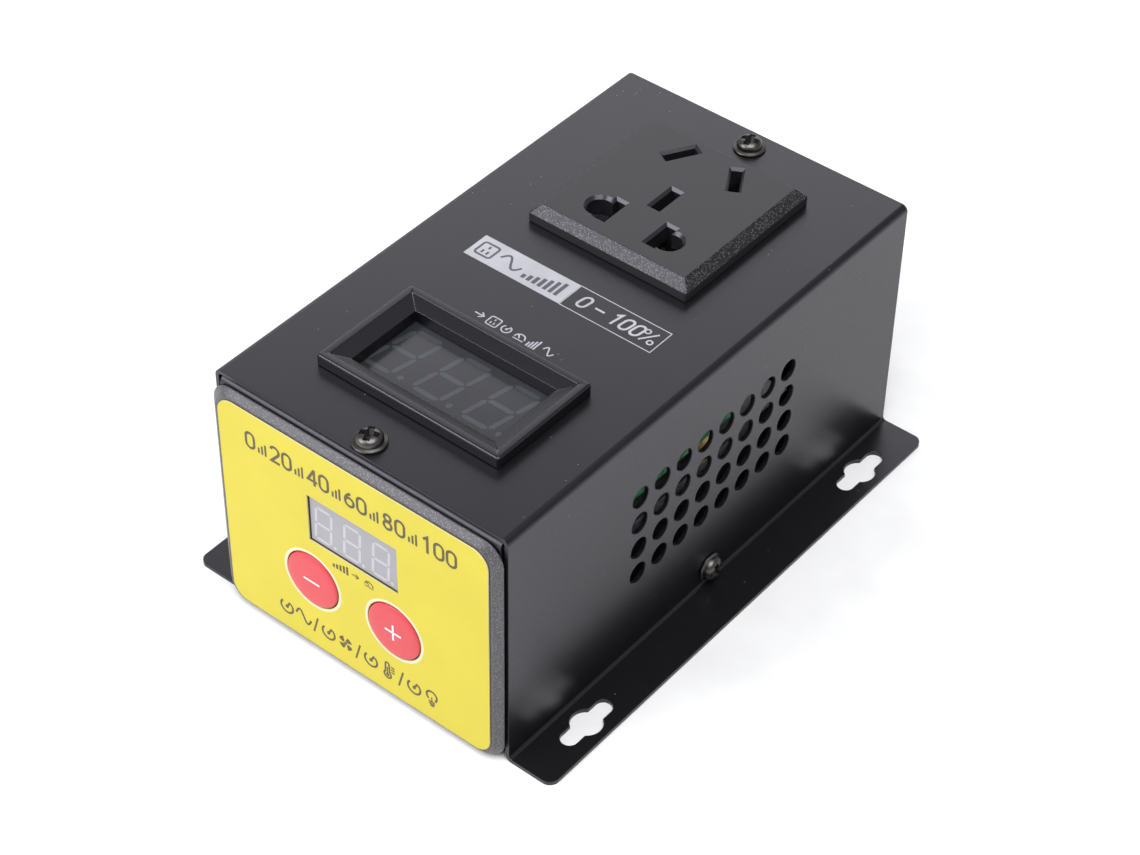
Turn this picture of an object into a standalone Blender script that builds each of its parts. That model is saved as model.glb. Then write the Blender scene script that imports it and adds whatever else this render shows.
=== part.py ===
"""Electronic voltage regulator in a folded steel case: cover with mounting flanges, inner tray, front panel with
display and two push buttons, voltmeter, five-hole mains socket, power board on a finned heatsink, and a fan.

Sizes below are millimetres and the helpers write metres. X runs across the case, the front panel faces -Y, and Z = 0
is the underside of the mounting flanges.
"""

import math

import bmesh
import bpy
from mathutils import Matrix, Vector

MM = 0.001

# ---------------------------------------------------------------- driving sizes
Y_SHIFT = 0.48            # puts the middle of the whole object, buttons and rear screws included, on Y = 0
COVER_HALF_W = 38.0
COVER_HALF_L = 65.7
COVER_H = 62.1
SHEET = 1.0
FLANGE_HALF_W = 49.0
FOLD_OUT = 1.6            # outside radius of a fold in the sheet
FOLD_IN = 0.6
FLANGE_CORNER = 2.4
KEYHOLE_X = 43.8
KEYHOLE_Y = 48.2
KEYHOLE_R = 3.5
KEYHOLE_SLOT = (1.95, 7.45)  # half width and half length of the slot through the round hole
VENT_R = 2.52
VENT_PITCH = 7.09
VENT_FIRST_Y = -25.1
VENT_TOP_Z = 43.54
VENT_COLUMNS = 8
VENT_ROWS = 4
TOP_SCREWS = ((0.0, -62.0), (0.0, 60.3))
SIDE_SCREW_Z = 4.7
SCREW_HOLE_R = 1.7
GAP = 0.3                 # between pieces that touch
SEAT = 0.15               # under a rim or a screw head that sits on the cover

TRAY_HALF_W = 36.4
TRAY_WALL_Y = 66.1
TRAY_FLOOR_Z = 1.5
TRAY_TOP_Z = 60.8
TRAY_TAB = 9.5

PANEL_BACK = (-0.15, 30.4, 37.75, 29.8, 5.0)     # centre x, z, half sizes and corner radius of the panel's rim
PANEL_FACE = (-0.15, 30.15, 36.1, 28.75, 4.3)    # the same for its front face, inside the bevel
LABEL = (0.0, 30.3, 35.3, 28.1, 4.0)
PANEL_BACK_Y = -66.4
PANEL_FRONT_Y = -68.05
LABEL_BACK_Y = -68.15
LABEL_FRONT_Y = -68.45
WINDOW = (-11.75, 11.95, 33.0, 45.5)      # x0, x1, z0, z1 of the front display
BUTTONS = {"minus": (-11.55, 21.6), "plus": (10.55, 21.6)}
BUTTON_R = 6.85
BUTTON_HOLE_R = 7.1
BUTTON_FRONT_Y = -68.85

METER = (0.35, -37.85)     # centre of the voltmeter
METER_RIM = (23.6, 14.15)  # half sizes
METER_BODY = (22.1, 12.7)
METER_MOUTH = (21.35, 12.1)
METER_LIP = (18.4, 9.55)
METER_RIM_Z = 64.9
METER_LIP_Z = 63.4
METER_WINDOW_Z = 60.5

SOCKET = (0.4, 31.15)      # centre of the outlet
SOCKET_RIM = (20.85, 21.25)
SOCKET_FACE = (18.8, 19.2)
SOCKET_BODY = (18.6, 19.0)
SOCKET_RIM_Z = 64.4
SOCKET_FACE_Z = 66.5
# centre offset x, y, angle from the Y axis in degrees
PIN_SLOTS = {
    "slant_left": (-7.25, 13.45, -30.0),
    "slant_right": (7.25, 13.45, 30.0),
    "earth": (0.0, -1.25, 0.0),
    "flat_left": (-6.65, -11.45, 0.0),
    "flat_right": (6.65, -11.45, 0.0),
}
SLOT_MOUTH = (1.75, 4.3)
SLOT_THROAT = (1.15, 3.7)
ROUND_PIN = (9.1, -11.75, 3.3)

BOARD = (-33.3, 33.3, -31.0, 14.0)
BOARD_Z = 37.0
BOARD_T = 1.6
HEATSINK = (-29.5, 29.5, -44.0, 38.0)
HEATSINK_Z = (2.8, 20.0, 24.0)
CHOKE = (21.5, -1.5)
FAN_HALF = 25.0
FAN_Z = 28.2
FAN_Y = (54.4, 64.7)
FAN_SCREW = 20.0

# ---------------------------------------------------------------- start clean
for old in list(bpy.data.objects):
    bpy.data.objects.remove(old, do_unlink=True)

SCENE = bpy.context.scene.collection


# ---------------------------------------------------------------- materials
def material(name, colour, roughness, metallic):
    made = bpy.data.materials.new(name)
    made.use_nodes = True
    shader = made.node_tree.nodes["Principled BSDF"]
    shader.inputs["Base Color"].default_value = (*colour, 1.0)
    shader.inputs["Roughness"].default_value = roughness
    shader.inputs["Metallic"].default_value = metallic
    made.diffuse_color = (*colour, 1.0)
    return made


LOOKS = {
    "black_powder_coat": ((0.030, 0.030, 0.033), 0.45, 0.3),
    "black_grained_plastic": ((0.035, 0.035, 0.038), 0.60, 0.0),
    "black_plastic": ((0.022, 0.022, 0.024), 0.35, 0.0),
    "yellow_label": ((0.90, 0.78, 0.06), 0.35, 0.0),
    "grey_display": ((0.34, 0.34, 0.37), 0.40, 0.0),
    "red_button": ((0.85, 0.07, 0.09), 0.35, 0.0),
    "green_board": ((0.02, 0.20, 0.08), 0.45, 0.0),
    "smoked_window": ((0.05, 0.05, 0.055), 0.12, 0.0),
    "dark_nickel": ((0.10, 0.10, 0.105), 0.28, 1.0),
    "steel": ((0.45, 0.45, 0.46), 0.35, 1.0),
    "brass": ((0.78, 0.56, 0.22), 0.30, 1.0),
    "aluminium": ((0.62, 0.63, 0.65), 0.38, 1.0),
    "yellow_film": ((0.85, 0.62, 0.05), 0.40, 0.0),
    "capacitor_sleeve": ((0.02, 0.03, 0.10), 0.35, 0.0),
    "ferrite": ((0.05, 0.05, 0.05), 0.70, 0.0),
    "copper_wire": ((0.62, 0.25, 0.08), 0.35, 0.8),
    "ceramic_white": ((0.80, 0.79, 0.74), 0.45, 0.0),
    "green_terminal": ((0.03, 0.30, 0.12), 0.45, 0.0),
    "black_rubber": ((0.015, 0.015, 0.015), 0.85, 0.0),
    "tape_yellow": ((0.80, 0.66, 0.10), 0.50, 0.0),
}
MATERIALS = {name: material(name, *look) for name, look in LOOKS.items()}


# ---------------------------------------------------------------- outlines
def arc(cx, cy, r, start, end, steps):
    """Points of an arc from start to end degrees, both ends included."""
    out = []
    for i in range(steps + 1):
        a = math.radians(start + (end - start) * i / steps)
        out.append((cx + r * math.cos(a), cy + r * math.sin(a)))
    return out


def rounded_rect(cx, cy, hx, hy, r, steps=4):
    out = []
    for sx, sy, a in ((1, 1, 0), (-1, 1, 90), (-1, -1, 180), (1, -1, 270)):
        out += arc(cx + sx * (hx - r), cy + sy * (hy - r), r, a, a + 90, steps)
    return out


def rect(cx, cy, hx, hy):
    return [(cx + hx, cy + hy), (cx - hx, cy + hy), (cx - hx, cy - hy), (cx + hx, cy - hy)]


def circle(cx, cy, r, steps):
    return [(cx + r * math.cos(math.tau * i / steps), cy + r * math.sin(math.tau * i / steps)) for i in range(steps)]


def turned(points, cx, cy, degrees):
    a = math.radians(degrees)
    return [
        (cx + (x - cx) * math.cos(a) - (y - cy) * math.sin(a), cy + (x - cx) * math.sin(a) + (y - cy) * math.cos(a))
        for x, y in points
    ]


def lift(points, axis, at):
    """The outline's two numbers and one level along the axis, as x, y, z."""
    if axis == "Z":
        return [(u, v, at) for u, v in points]
    if axis == "Y":
        return [(u, at, v) for u, v in points]
    return [(at, u, v) for u, v in points]


# ---------------------------------------------------------------- solids
def solid(name, shells, look=None, origin=None, smooth_degrees=35.0):
    """One object from shells, each a list of rings with the same number of points and both ends capped."""
    points = [p for rings in shells for ring in rings for p in ring]
    if origin is None:
        origin = [(min(p[i] for p in points) + max(p[i] for p in points)) / 2 for i in range(3)]
    mesh = bpy.data.meshes.new(name)
    form = bmesh.new()
    for rings in shells:
        rows = [[form.verts.new([(p[i] - origin[i]) * MM for i in range(3)]) for p in ring] for ring in rings]
        for lower, upper in zip(rows, rows[1:]):
            n = len(lower)
            for i in range(n):
                form.faces.new((lower[i], lower[(i + 1) % n], upper[(i + 1) % n], upper[i]))
        form.faces.new(rows[0][::-1])
        form.faces.new(rows[-1])
    bmesh.ops.recalc_face_normals(form, faces=form.faces)
    limit = math.radians(smooth_degrees)
    for face in form.faces:
        face.smooth = True
    for edge in form.edges:
        edge.smooth = len(edge.link_faces) == 2 and edge.calc_face_angle(0.0) < limit
    form.to_mesh(mesh)
    form.free()
    made = bpy.data.objects.new(name, mesh)
    made.location = [(origin[0]) * MM, (origin[1] + Y_SHIFT) * MM, origin[2] * MM]
    SCENE.objects.link(made)
    if look:
        mesh.materials.append(MATERIALS[look])
    return made


def prism(name, outline, axis, start, end, look=None, origin=None):
    return solid(name, [[lift(outline, axis, start), lift(outline, axis, end)]], look, origin)


def box(name, x0, x1, y0, y1, z0, z1, look=None, origin=None):
    return prism(name, [(x0, y0), (x1, y0), (x1, y1), (x0, y1)], "Z", z0, z1, look, origin)


def cylinder(name, cx, cy, r, axis, start, end, steps=24, look=None, origin=None):
    return prism(name, circle(cx, cy, r, steps), axis, start, end, look, origin)


def lathe_rings(profile, axis, cu, cv, steps):
    return [lift(circle(cu, cv, max(r, 0.02), steps), axis, at) for r, at in profile]


def lathe(name, profile, axis, cu, cv, steps, look=None, origin=None):
    """A turned piece: profile is radius and level along the axis, from one end to the other."""
    return solid(name, [lathe_rings(profile, axis, cu, cv, steps)], look, origin)


def combine(target, operation, *others):
    for other in others:
        step = target.modifiers.new(other.name, "BOOLEAN")
        step.operation = operation
        step.solver = "EXACT"
        step.object = other
        other.hide_render = True
        other.display_type = "WIRE"
    return target


def cut(target, *cutters):
    return combine(target, "DIFFERENCE", *cutters)


def join(target, *others):
    return combine(target, "UNION", *others)


def bevel(target, width, segments=2, degrees=40.0):
    step = target.modifiers.new("edge_round", "BEVEL")
    step.width = width * MM
    step.segments = segments
    step.limit_method = "ANGLE"
    step.angle_limit = math.radians(degrees)
    return target


# ---------------------------------------------------------------- cover
def cover_outline():
    w, h, t = COVER_HALF_W, COVER_H, SHEET
    outer_foot = FOLD_OUT - t + 0.2
    right = [(FLANGE_HALF_W, 0.0), (FLANGE_HALF_W, t)]
    right += arc(w + outer_foot, t + outer_foot, outer_foot, 270, 180, 3)
    right += arc(w - FOLD_OUT, h - FOLD_OUT, FOLD_OUT, 0, 90, 4)
    left = [(-x, z) for x, z in reversed(right)]
    inner_foot = outer_foot + t
    inner_left = arc(-(w + outer_foot), inner_foot, inner_foot, 270, 360, 4)
    inner_left += arc(-(w - FOLD_OUT), h - FOLD_OUT, FOLD_IN, 180, 90, 3)
    inner_right = [(-x, z) for x, z in reversed(inner_left)]
    return right + left + inner_left + inner_right


def keyhole(name, x, y):
    slot_w, slot_l = KEYHOLE_SLOT
    slot = rounded_rect(x, y, slot_w, slot_l, slot_w - 0.01, 4)
    made = prism(name, slot, "Z", -2.0, 3.0)
    return join(made, cylinder(name + "_round", x, y, KEYHOLE_R, "Z", -2.2, 3.2, 20))


def corner_trim(name, sx, sy):
    """What rounding takes off one outer corner of a flange."""
    x, y, r = FLANGE_HALF_W, COVER_HALF_L, FLANGE_CORNER
    out = [(sx * (x + 1.0), sy * (y + 1.0)), (sx * (x + 1.0), sy * (y - r))]
    out += [(sx * u, sy * v) for u, v in arc(x - r, y - r, r, 0, 90, 4)]
    out.append((sx * (x - r), sy * (y + 1.0)))
    return prism(name, out, "Z", -1.0, 2.5)


cover = prism("cover", cover_outline(), "Y", -COVER_HALF_L, COVER_HALF_L, "black_powder_coat", (0.0, 0.0, 0.0))
vents = []
for column in range(VENT_COLUMNS):
    for row in range(VENT_ROWS):
        spot = circle(VENT_FIRST_Y + VENT_PITCH * column, VENT_TOP_Z - VENT_PITCH * row, VENT_R, 12)
        vents.append([lift(spot, "X", -40.0), lift(spot, "X", 40.0)])
cut(cover, solid("vent_cutter", vents))
cut(cover, box("meter_cutter", METER[0] - 22.5, METER[0] + 22.5, METER[1] - 13.1, METER[1] + 13.1, 58.0, 64.0))
cut(cover, box("socket_cutter", SOCKET[0] - 19.0, SOCKET[0] + 19.0, SOCKET[1] - 19.4, SOCKET[1] + 19.4, 58.0, 64.0))
holes = []
for x, y in TOP_SCREWS:
    holes.append([lift(circle(x, y, SCREW_HOLE_R, 16), "Z", 58.0), lift(circle(x, y, SCREW_HOLE_R, 16), "Z", 64.0)])
side_hole = circle(0.0, SIDE_SCREW_Z, SCREW_HOLE_R, 16)
holes.append([lift(side_hole, "X", -41.0), lift(side_hole, "X", 41.0)])
cut(cover, solid("screw_hole_cutter", holes))
for sx in (-1, 1):
    for sy in (-1, 1):
        tag = f"{'left' if sx < 0 else 'right'}_{'front' if sy < 0 else 'rear'}"
        cut(cover, keyhole("keyhole_" + tag, sx * KEYHOLE_X, sy * KEYHOLE_Y), corner_trim("corner_" + tag, sx, sy))


# ---------------------------------------------------------------- inner tray
def tray_outline():
    y, top, floor = TRAY_WALL_Y, TRAY_TOP_Z, TRAY_FLOOR_Z
    ro, ri, t = FOLD_OUT, FOLD_IN, SHEET
    tip = y - ro - TRAY_TAB + 1.5
    front_out = [(-tip, top)] + arc(-(y - ro), top - ro, ro, 90, 180, 4) + arc(-(y - ro), floor + ro, ro, 180, 270, 4)
    rear_out = [(-u, v) for u, v in reversed(front_out)]
    rear_in = [(tip, top - t)] + arc(y - ro, top - ro, ri, 90, 0, 3) + arc(y - ro, floor + ro, ri, 0, -90, 3)
    front_in = [(-u, v) for u, v in reversed(rear_in)]
    return front_out + rear_out + rear_in + front_in


tray = prism("base_tray", tray_outline(), "X", -TRAY_HALF_W, TRAY_HALF_W, "black_powder_coat")
for side, x0, x1 in (("left", -TRAY_HALF_W, -TRAY_HALF_W + SHEET), ("right", TRAY_HALF_W - SHEET, TRAY_HALF_W)):
    join(tray, box("tray_ear_" + side, x0, x1, -9.0, 9.0, TRAY_FLOOR_Z + 0.15, 12.0))
cut(tray, prism("tray_window_cutter", rounded_rect(0.0, 31.0, 30.5, 23.5, 2.0), "Y", -68.0, -63.0))
grille = []
for i in range(-3, 4):
    for j in range(-3, 4):
        u, v = VENT_PITCH * i, FAN_Z + VENT_PITCH * j
        if math.hypot(u, v - FAN_Z) < 23.0:
            spot = circle(u, v, VENT_R, 10)
            grille.append([lift(spot, "Y", 63.0), lift(spot, "Y", 69.0)])
cut(tray, solid("grille_cutter", grille))
tray_holes = []
for x, y in TOP_SCREWS:
    spot = circle(x, y, 1.6, 12)
    tray_holes.append([lift(spot, "Z", 58.5), lift(spot, "Z", 63.0)])
for x, y in ((0.0, -36.0), (0.0, 30.0)):
    spot = circle(x, y, 1.6, 12)
    tray_holes.append([lift(spot, "Z", 0.0), lift(spot, "Z", 4.0)])
for sx in (-1, 1):
    for sz in (-1, 1):
        spot = circle(sx * FAN_SCREW, FAN_Z + sz * FAN_SCREW, 1.8, 12)
        tray_holes.append([lift(spot, "Y", 64.0), lift(spot, "Y", 68.0)])
spot = circle(0.0, SIDE_SCREW_Z, 1.6, 12)
for x0, x1 in ((-38.0, -34.0), (34.0, 38.0)):
    tray_holes.append([lift(spot, "X", x0), lift(spot, "X", x1)])
INLET = (-30.8, 12.0)
spot = circle(*INLET, 4.3, 20)
tray_holes.append([lift(spot, "Y", 64.0), lift(spot, "Y", 68.0)])
cut(tray, solid("tray_hole_cutter", tray_holes))

# rubber bush that lines the lead-in hole of the rear wall
bush = [(5.0, 67.3), (5.4, 66.9), (5.4, 66.25), (4.0, 66.25), (4.0, 64.95), (5.4, 64.95), (5.4, 64.1)]
grommet = solid("inlet_grommet", [lathe_rings(bush, "Y", *INLET, 20)], "black_rubber")
cut(grommet, cylinder("grommet_bore", *INLET, 3.1, "Y", 62.0, 69.0, 16))


# ---------------------------------------------------------------- screws
def pan_screw(name, axis, cu, cv, seat, out, head_r, head_h, washer_r, shank_r, length, look="dark_nickel", steps=12):
    """A cross-recessed pan head screw whose head rises from seat along out (+1 or -1)."""
    washer = 0.55 if washer_r > head_r else 0.0
    profile = [(shank_r, seat - out * length), (shank_r, seat)]
    if washer:
        profile += [(washer_r, seat), (washer_r, seat + out * washer * 0.7), (washer_r - 0.3, seat + out * washer)]
    profile += [
        (head_r, seat + out * washer),
        (head_r * 0.98, seat + out * (washer + head_h * 0.35)),
        (head_r * 0.82, seat + out * (washer + head_h * 0.75)),
        (head_r * 0.45, seat + out * (washer + head_h * 0.97)),
        (0.0, seat + out * (washer + head_h)),
    ]
    made = lathe(name, profile, axis, cu, cv, steps, look)
    arm, half = head_r * 0.62, head_r * 0.14
    low, high = seat + out * (washer + head_h * 0.35), seat + out * (washer + head_h + 0.5)
    cross = [
        (half, arm), (-half, arm), (-half, half), (-arm, half), (-arm, -half), (-half, -half),
        (-half, -arm), (half, -arm), (half, -half), (arm, -half), (arm, half), (half, half),
    ]
    cross = [(cu + u, cv + v) for u, v in cross]
    return cut(made, prism(name + "_cross", cross, axis, low, high))


for tag, (x, y) in zip(("front", "rear"), TOP_SCREWS):
    pan_screw(f"cover_screw_{tag}", "Z", x, y, COVER_H + SEAT, 1, 2.75, 1.9, 3.5, 1.3, 6.4, steps=18)
pan_screw("cover_screw_left", "X", 0.0, SIDE_SCREW_Z, -(COVER_HALF_W + SEAT), -1, 2.7, 1.8, 3.3, 1.3, 6.0, steps=18)
pan_screw("cover_screw_right", "X", 0.0, SIDE_SCREW_Z, COVER_HALF_W + SEAT, 1, 2.7, 1.8, 3.3, 1.3, 6.0, steps=18)

# ---------------------------------------------------------------- front panel
panel_rings = [
    lift(rounded_rect(*PANEL_BACK, 6), "Y", PANEL_BACK_Y),
    lift(rounded_rect(*PANEL_BACK, 6), "Y", PANEL_BACK_Y - 0.35),
    lift(rounded_rect(*PANEL_FACE, 6), "Y", PANEL_FRONT_Y),
]
panel = solid("front_panel", [panel_rings], "black_grained_plastic")
posts = []
for sx in (-1, 1):
    for z in (13.0, 49.0):
        spot = circle(sx * 26.5, z, 2.6, 16)
        posts.append([lift(spot, "Y", PANEL_BACK_Y - 0.4), lift(spot, "Y", -60.6)])
join(panel, solid("panel_posts", posts))
post_bores = []
for sx in (-1, 1):
    for z in (13.0, 49.0):
        spot = circle(sx * 26.5, z, 1.3, 12)
        post_bores.append([lift(spot, "Y", -64.6), lift(spot, "Y", -59.0)])
cut(panel, solid("panel_post_bores", post_bores))
window_centre = ((WINDOW[0] + WINDOW[1]) / 2, (WINDOW[2] + WINDOW[3]) / 2)
window_half = ((WINDOW[1] - WINDOW[0]) / 2, (WINDOW[3] - WINDOW[2]) / 2)
cut(panel, prism("panel_window_cutter", rect(*window_centre, *window_half), "Y", -70.0, -65.0))
for tag, (x, z) in BUTTONS.items():
    cut(panel, cylinder("panel_button_cutter_" + tag, x, z, BUTTON_HOLE_R, "Y", -70.0, -65.0, 32))

label = prism("front_label", rounded_rect(*LABEL, 6), "Y", LABEL_BACK_Y, LABEL_FRONT_Y, "yellow_label")
cut(label, prism("label_window_cutter", rect(*window_centre, *window_half), "Y", -70.0, -67.0))
for tag, (x, z) in BUTTONS.items():
    cut(label, cylinder("label_button_cutter_" + tag, x, z, BUTTON_HOLE_R, "Y", -70.0, -67.0, 32))

for tag, (x, z) in BUTTONS.items():
    # cap, retaining collar behind the panel, and stem into the switch; the origin lies on the line it is pushed along
    cap = [
        (1.2, -62.4), (1.2, -65.4), (BUTTON_R + 0.95, -65.4), (BUTTON_R + 0.95, -66.1), (BUTTON_R, -66.1),
        (BUTTON_R, BUTTON_FRONT_Y + 0.35), (BUTTON_R - 0.3, BUTTON_FRONT_Y), (0.0, BUTTON_FRONT_Y - 0.05),
    ]
    lathe("button_" + tag, cap, "Y", x, z, 32, "red_button", (x, -66.0, z))
    switch = box("tact_switch_" + tag, x - 3.0, x + 3.0, -63.9, -60.6, z - 3.0, z + 3.0, "black_plastic")
    cut(switch, cylinder("switch_bore_" + tag, x, z, 1.5, "Y", -65.0, -61.4, 16))

front_display = box(
    "front_display", WINDOW[0] + 0.25, WINDOW[1] - 0.25, -67.95, -60.6, WINDOW[2] + 0.25, WINDOW[3] - 0.25,
    "grey_display",
)
control_board = box("control_board", -30.0, 30.0, -60.3, -58.7, 9.0, 53.0, "green_board")
board_holes = []
for sx in (-1, 1):
    for z in (13.0, 49.0):
        spot = circle(sx * 26.5, z, 1.5, 12)
        board_holes.append([lift(spot, "Y", -62.0), lift(spot, "Y", -57.0)])
cut(control_board, solid("control_board_holes", board_holes))
for tag, x, z in (("left", -26.5, 49.0), ("right", 26.5, 13.0)):
    pan_screw("control_board_screw_" + tag, "Y", x, z, -58.4, 1, 2.2, 1.4, 2.2, 1.0, 5.4, "steel")

# ---------------------------------------------------------------- voltmeter
mx, my = METER
rim_rings = [
    lift(rounded_rect(mx, my, METER_RIM[0], METER_RIM[1], 0.6, 3), "Z", COVER_H + SEAT),
    lift(rounded_rect(mx, my, METER_RIM[0], METER_RIM[1], 0.6, 3), "Z", METER_RIM_Z - 0.6),
    lift(rounded_rect(mx, my, METER_RIM[0] - 0.6, METER_RIM[1] - 0.6, 0.3, 3), "Z", METER_RIM_Z),
]
housing = solid("voltmeter_housing", [rim_rings], "black_plastic")
tube_x, tube_y = METER_BODY
join(housing, box("meter_tube", mx - tube_x, mx + tube_x, my - tube_y, my + tube_y, 46.0, COVER_H + 1.0))
funnel = [
    lift(rect(mx, my, METER_MOUTH[0] + 0.4, METER_MOUTH[1] + 0.4), "Z", METER_RIM_Z + 0.35),
    lift(rect(mx, my, *METER_LIP), "Z", METER_LIP_Z),
    lift(rect(mx, my, *METER_LIP), "Z", METER_WINDOW_Z - 1.0),
]
cut(housing, solid("meter_funnel", [funnel]))
cut(housing, box("meter_cavity", mx - 21.0, mx + 21.0, my - 11.6, my + 11.6, 44.0, METER_WINDOW_Z + 0.3))
box("voltmeter_window", mx - 20.7, mx + 20.7, my - 11.3, my + 11.3, 59.7, METER_WINDOW_Z, "smoked_window")
box("voltmeter_display", mx - 18.9, mx + 18.9, my - 9.5, my + 9.5, 52.6, 59.4, "grey_display")
box("voltmeter_board", mx - 20.6, mx + 20.6, my - 11.2, my + 11.2, 50.7, 52.3, "green_board")

# ---------------------------------------------------------------- outlet
sx0, sy0 = SOCKET
plate_rings = [
    lift(rounded_rect(sx0, sy0, *SOCKET_RIM, 0.5, 2), "Z", COVER_H + SEAT),
    lift(rounded_rect(sx0, sy0, *SOCKET_RIM, 0.5, 2), "Z", SOCKET_RIM_Z),
    lift(rounded_rect(sx0, sy0, *SOCKET_FACE, 0.3, 2), "Z", SOCKET_FACE_Z),
]
plate = solid("socket_plate", [plate_rings], "black_grained_plastic")
plate_slots = []
pockets = []
for dx, dy, angle in PIN_SLOTS.values():
    cx, cy = sx0 + dx, sy0 + dy
    mouth = turned(rect(cx, cy, *SLOT_MOUTH), cx, cy, angle)
    throat = turned(rect(cx, cy, *SLOT_THROAT), cx, cy, angle)
    over = turned(rect(cx, cy, SLOT_MOUTH[0] + 0.6, SLOT_MOUTH[1] + 0.6), cx, cy, angle)
    plate_slots.append(
        [
            lift(over, "Z", SOCKET_FACE_Z + 0.6),
            lift(mouth, "Z", SOCKET_FACE_Z),
            lift(throat, "Z", SOCKET_FACE_Z - 0.6),
            lift(throat, "Z", 60.0),
        ]
    )
    pocket = turned(rect(cx, cy, 2.1, 4.1), cx, cy, angle)
    pockets.append([lift(pocket, "Z", 43.0), lift(pocket, "Z", 65.0)])
cut(plate, solid("plate_slot_cutter", plate_slots))
for side in (-1, 1):
    cx, cy, r = sx0 + side * ROUND_PIN[0], sy0 + ROUND_PIN[1], ROUND_PIN[2]
    profile = [(r + 0.6, SOCKET_FACE_Z + 0.6), (r, SOCKET_FACE_Z), (r - 0.45, SOCKET_FACE_Z - 0.45), (r - 0.45, 60.0)]
    cut(plate, lathe(f"plate_round_cutter_{'left' if side < 0 else 'right'}", profile, "Z", cx, cy, 24))

body = box(
    "socket_body", sx0 - SOCKET_BODY[0], sx0 + SOCKET_BODY[0], sy0 - SOCKET_BODY[1], sy0 + SOCKET_BODY[1],
    46.0, COVER_H - 0.15, "black_plastic",
)
cut(body, solid("socket_pocket_cutter", pockets))


def contact(name, slots, bar):
    """Twin spring blades for each pin, standing on one brass bar under the outlet body."""
    made = prism(name, bar, "Z", 44.9, 45.7, "brass")
    blades = []
    for key in slots:
        dx, dy, angle = PIN_SLOTS[key]
        cx, cy = sx0 + dx, sy0 + dy
        for shift in (-1.3, 1.3):
            blade = turned(rect(cx + shift, cy, 0.3, 3.2), cx, cy, angle)
            blades.append([lift(blade, "Z", 45.2), lift(blade, "Z", 60.5)])
    return join(made, solid(name + "_blades", blades))


contact("contact_left", ("slant_left", "flat_left"), [
    (sx0 - 9.2, sy0 - 15.2), (sx0 - 4.3, sy0 - 15.2), (sx0 - 4.3, sy0 + 6.0), (sx0 - 3.4, sy0 + 16.0),
    (sx0 - 11.6, sy0 + 16.0), (sx0 - 9.2, sy0 + 6.0),
])
contact("contact_right", ("slant_right", "flat_right"), [
    (sx0 + 4.3, sy0 - 15.2), (sx0 + 9.2, sy0 - 15.2), (sx0 + 9.2, sy0 + 6.0), (sx0 + 11.6, sy0 + 16.0),
    (sx0 + 3.4, sy0 + 16.0), (sx0 + 4.3, sy0 + 6.0),
])
contact("contact_earth", ("earth",), rect(sx0, sy0 - 1.25, 2.4, 5.5))

# ---------------------------------------------------------------- heatsink and switching device
hx0, hx1, hy0, hy1 = HEATSINK
foot_z, base_z, top_z = HEATSINK_Z
fin_count, fin_t = 8, 2.0
comb = [(hx0, top_z), (hx0, foot_z)]
step = (hx1 - hx0 - fin_t) / (fin_count - 1)
for i in range(fin_count):
    x = hx0 + step * i
    if i:
        comb += [(x, base_z), (x, foot_z)]
    comb += [(x + fin_t, foot_z)]
    if i < fin_count - 1:
        comb += [(x + fin_t, base_z)]
comb += [(hx1, top_z)]
heatsink = prism("heatsink", comb, "Y", hy0, hy1, "aluminium")
sink_holes = []
for x, y in ((-26.5, -26.5), (26.5, -26.5), (-26.5, 9.5), (26.5, 9.5), (0.0, -6.6)):
    spot = circle(x, y, 1.6, 12)
    sink_holes.append([lift(spot, "Z", 18.0), lift(spot, "Z", 26.0)])
cut(heatsink, solid("heatsink_hole_cutter", sink_holes))
for tag, y in (("front", -36.0), ("rear", 30.0)):
    join(heatsink, box("heatsink_foot_" + tag, -6.0, 6.0, y - 4.0, y + 4.0, foot_z, base_z + 0.5))
    cut(heatsink, cylinder("heatsink_foot_bore_" + tag, 0.0, y, 1.6, "Z", 0.0, 12.0, 12))
    pan_screw("heatsink_screw_" + tag, "Z", 0.0, y, TRAY_FLOOR_Z - SEAT, -1, 2.6, 1.1, 2.6, 1.3, 8.0, "steel")

device = box("triac", -7.8, 7.8, -10.5, 10.0, top_z + GAP, top_z + 4.9, "black_plastic")
bevel(device, 0.5, 1)
legs = []
for x in (-5.45, 0.0, 5.45):
    path = [
        (9.0, top_z + 2.2), (13.2, top_z + 2.2), (13.2, BOARD_Z - GAP), (12.4, BOARD_Z - GAP), (12.4, top_z + 3.0),
        (9.0, top_z + 3.0),
    ]
    legs.append([lift(path, "X", x - 0.7), lift(path, "X", x + 0.7)])
join(device, solid("triac_legs", legs))
cut(device, cylinder("triac_hole", 0.0, -6.6, 1.7, "Z", 20.0, 34.0, 12))
pan_screw("triac_screw", "Z", 0.0, -6.6, top_z + 5.1, 1, 2.8, 1.6, 2.8, 1.3, 8.0, "steel")

# ---------------------------------------------------------------- power board and what stands on it
bx0, bx1, by0, by1 = BOARD
power_board = box("power_board", bx0, bx1, by0, by1, BOARD_Z, BOARD_Z + BOARD_T, "green_board")
spots = []
for x, y in ((-26.5, -26.5), (26.5, -26.5), (-26.5, 9.5), (26.5, 9.5)):
    spots.append([lift(circle(x, y, 1.5, 12), "Z", 35.0), lift(circle(x, y, 1.5, 12), "Z", 41.0)])
cut(power_board, solid("power_board_holes", spots))
for tag, x, y in (("a", -26.5, -26.5), ("b", 26.5, -26.5), ("c", -26.5, 9.5), ("d", 26.5, 9.5)):
    post = prism("standoff_" + tag, circle(x, y, 2.8, 6), "Z", top_z + GAP, BOARD_Z - GAP, "brass")
    cut(post, cylinder("standoff_bore_" + tag, x, y, 1.3, "Z", BOARD_Z - 7.0, BOARD_Z + 1.0, 12))
    join(post, cylinder("standoff_stud_" + tag, x, y, 1.3, "Z", top_z - 3.5, top_z + 1.5, 12))

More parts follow.
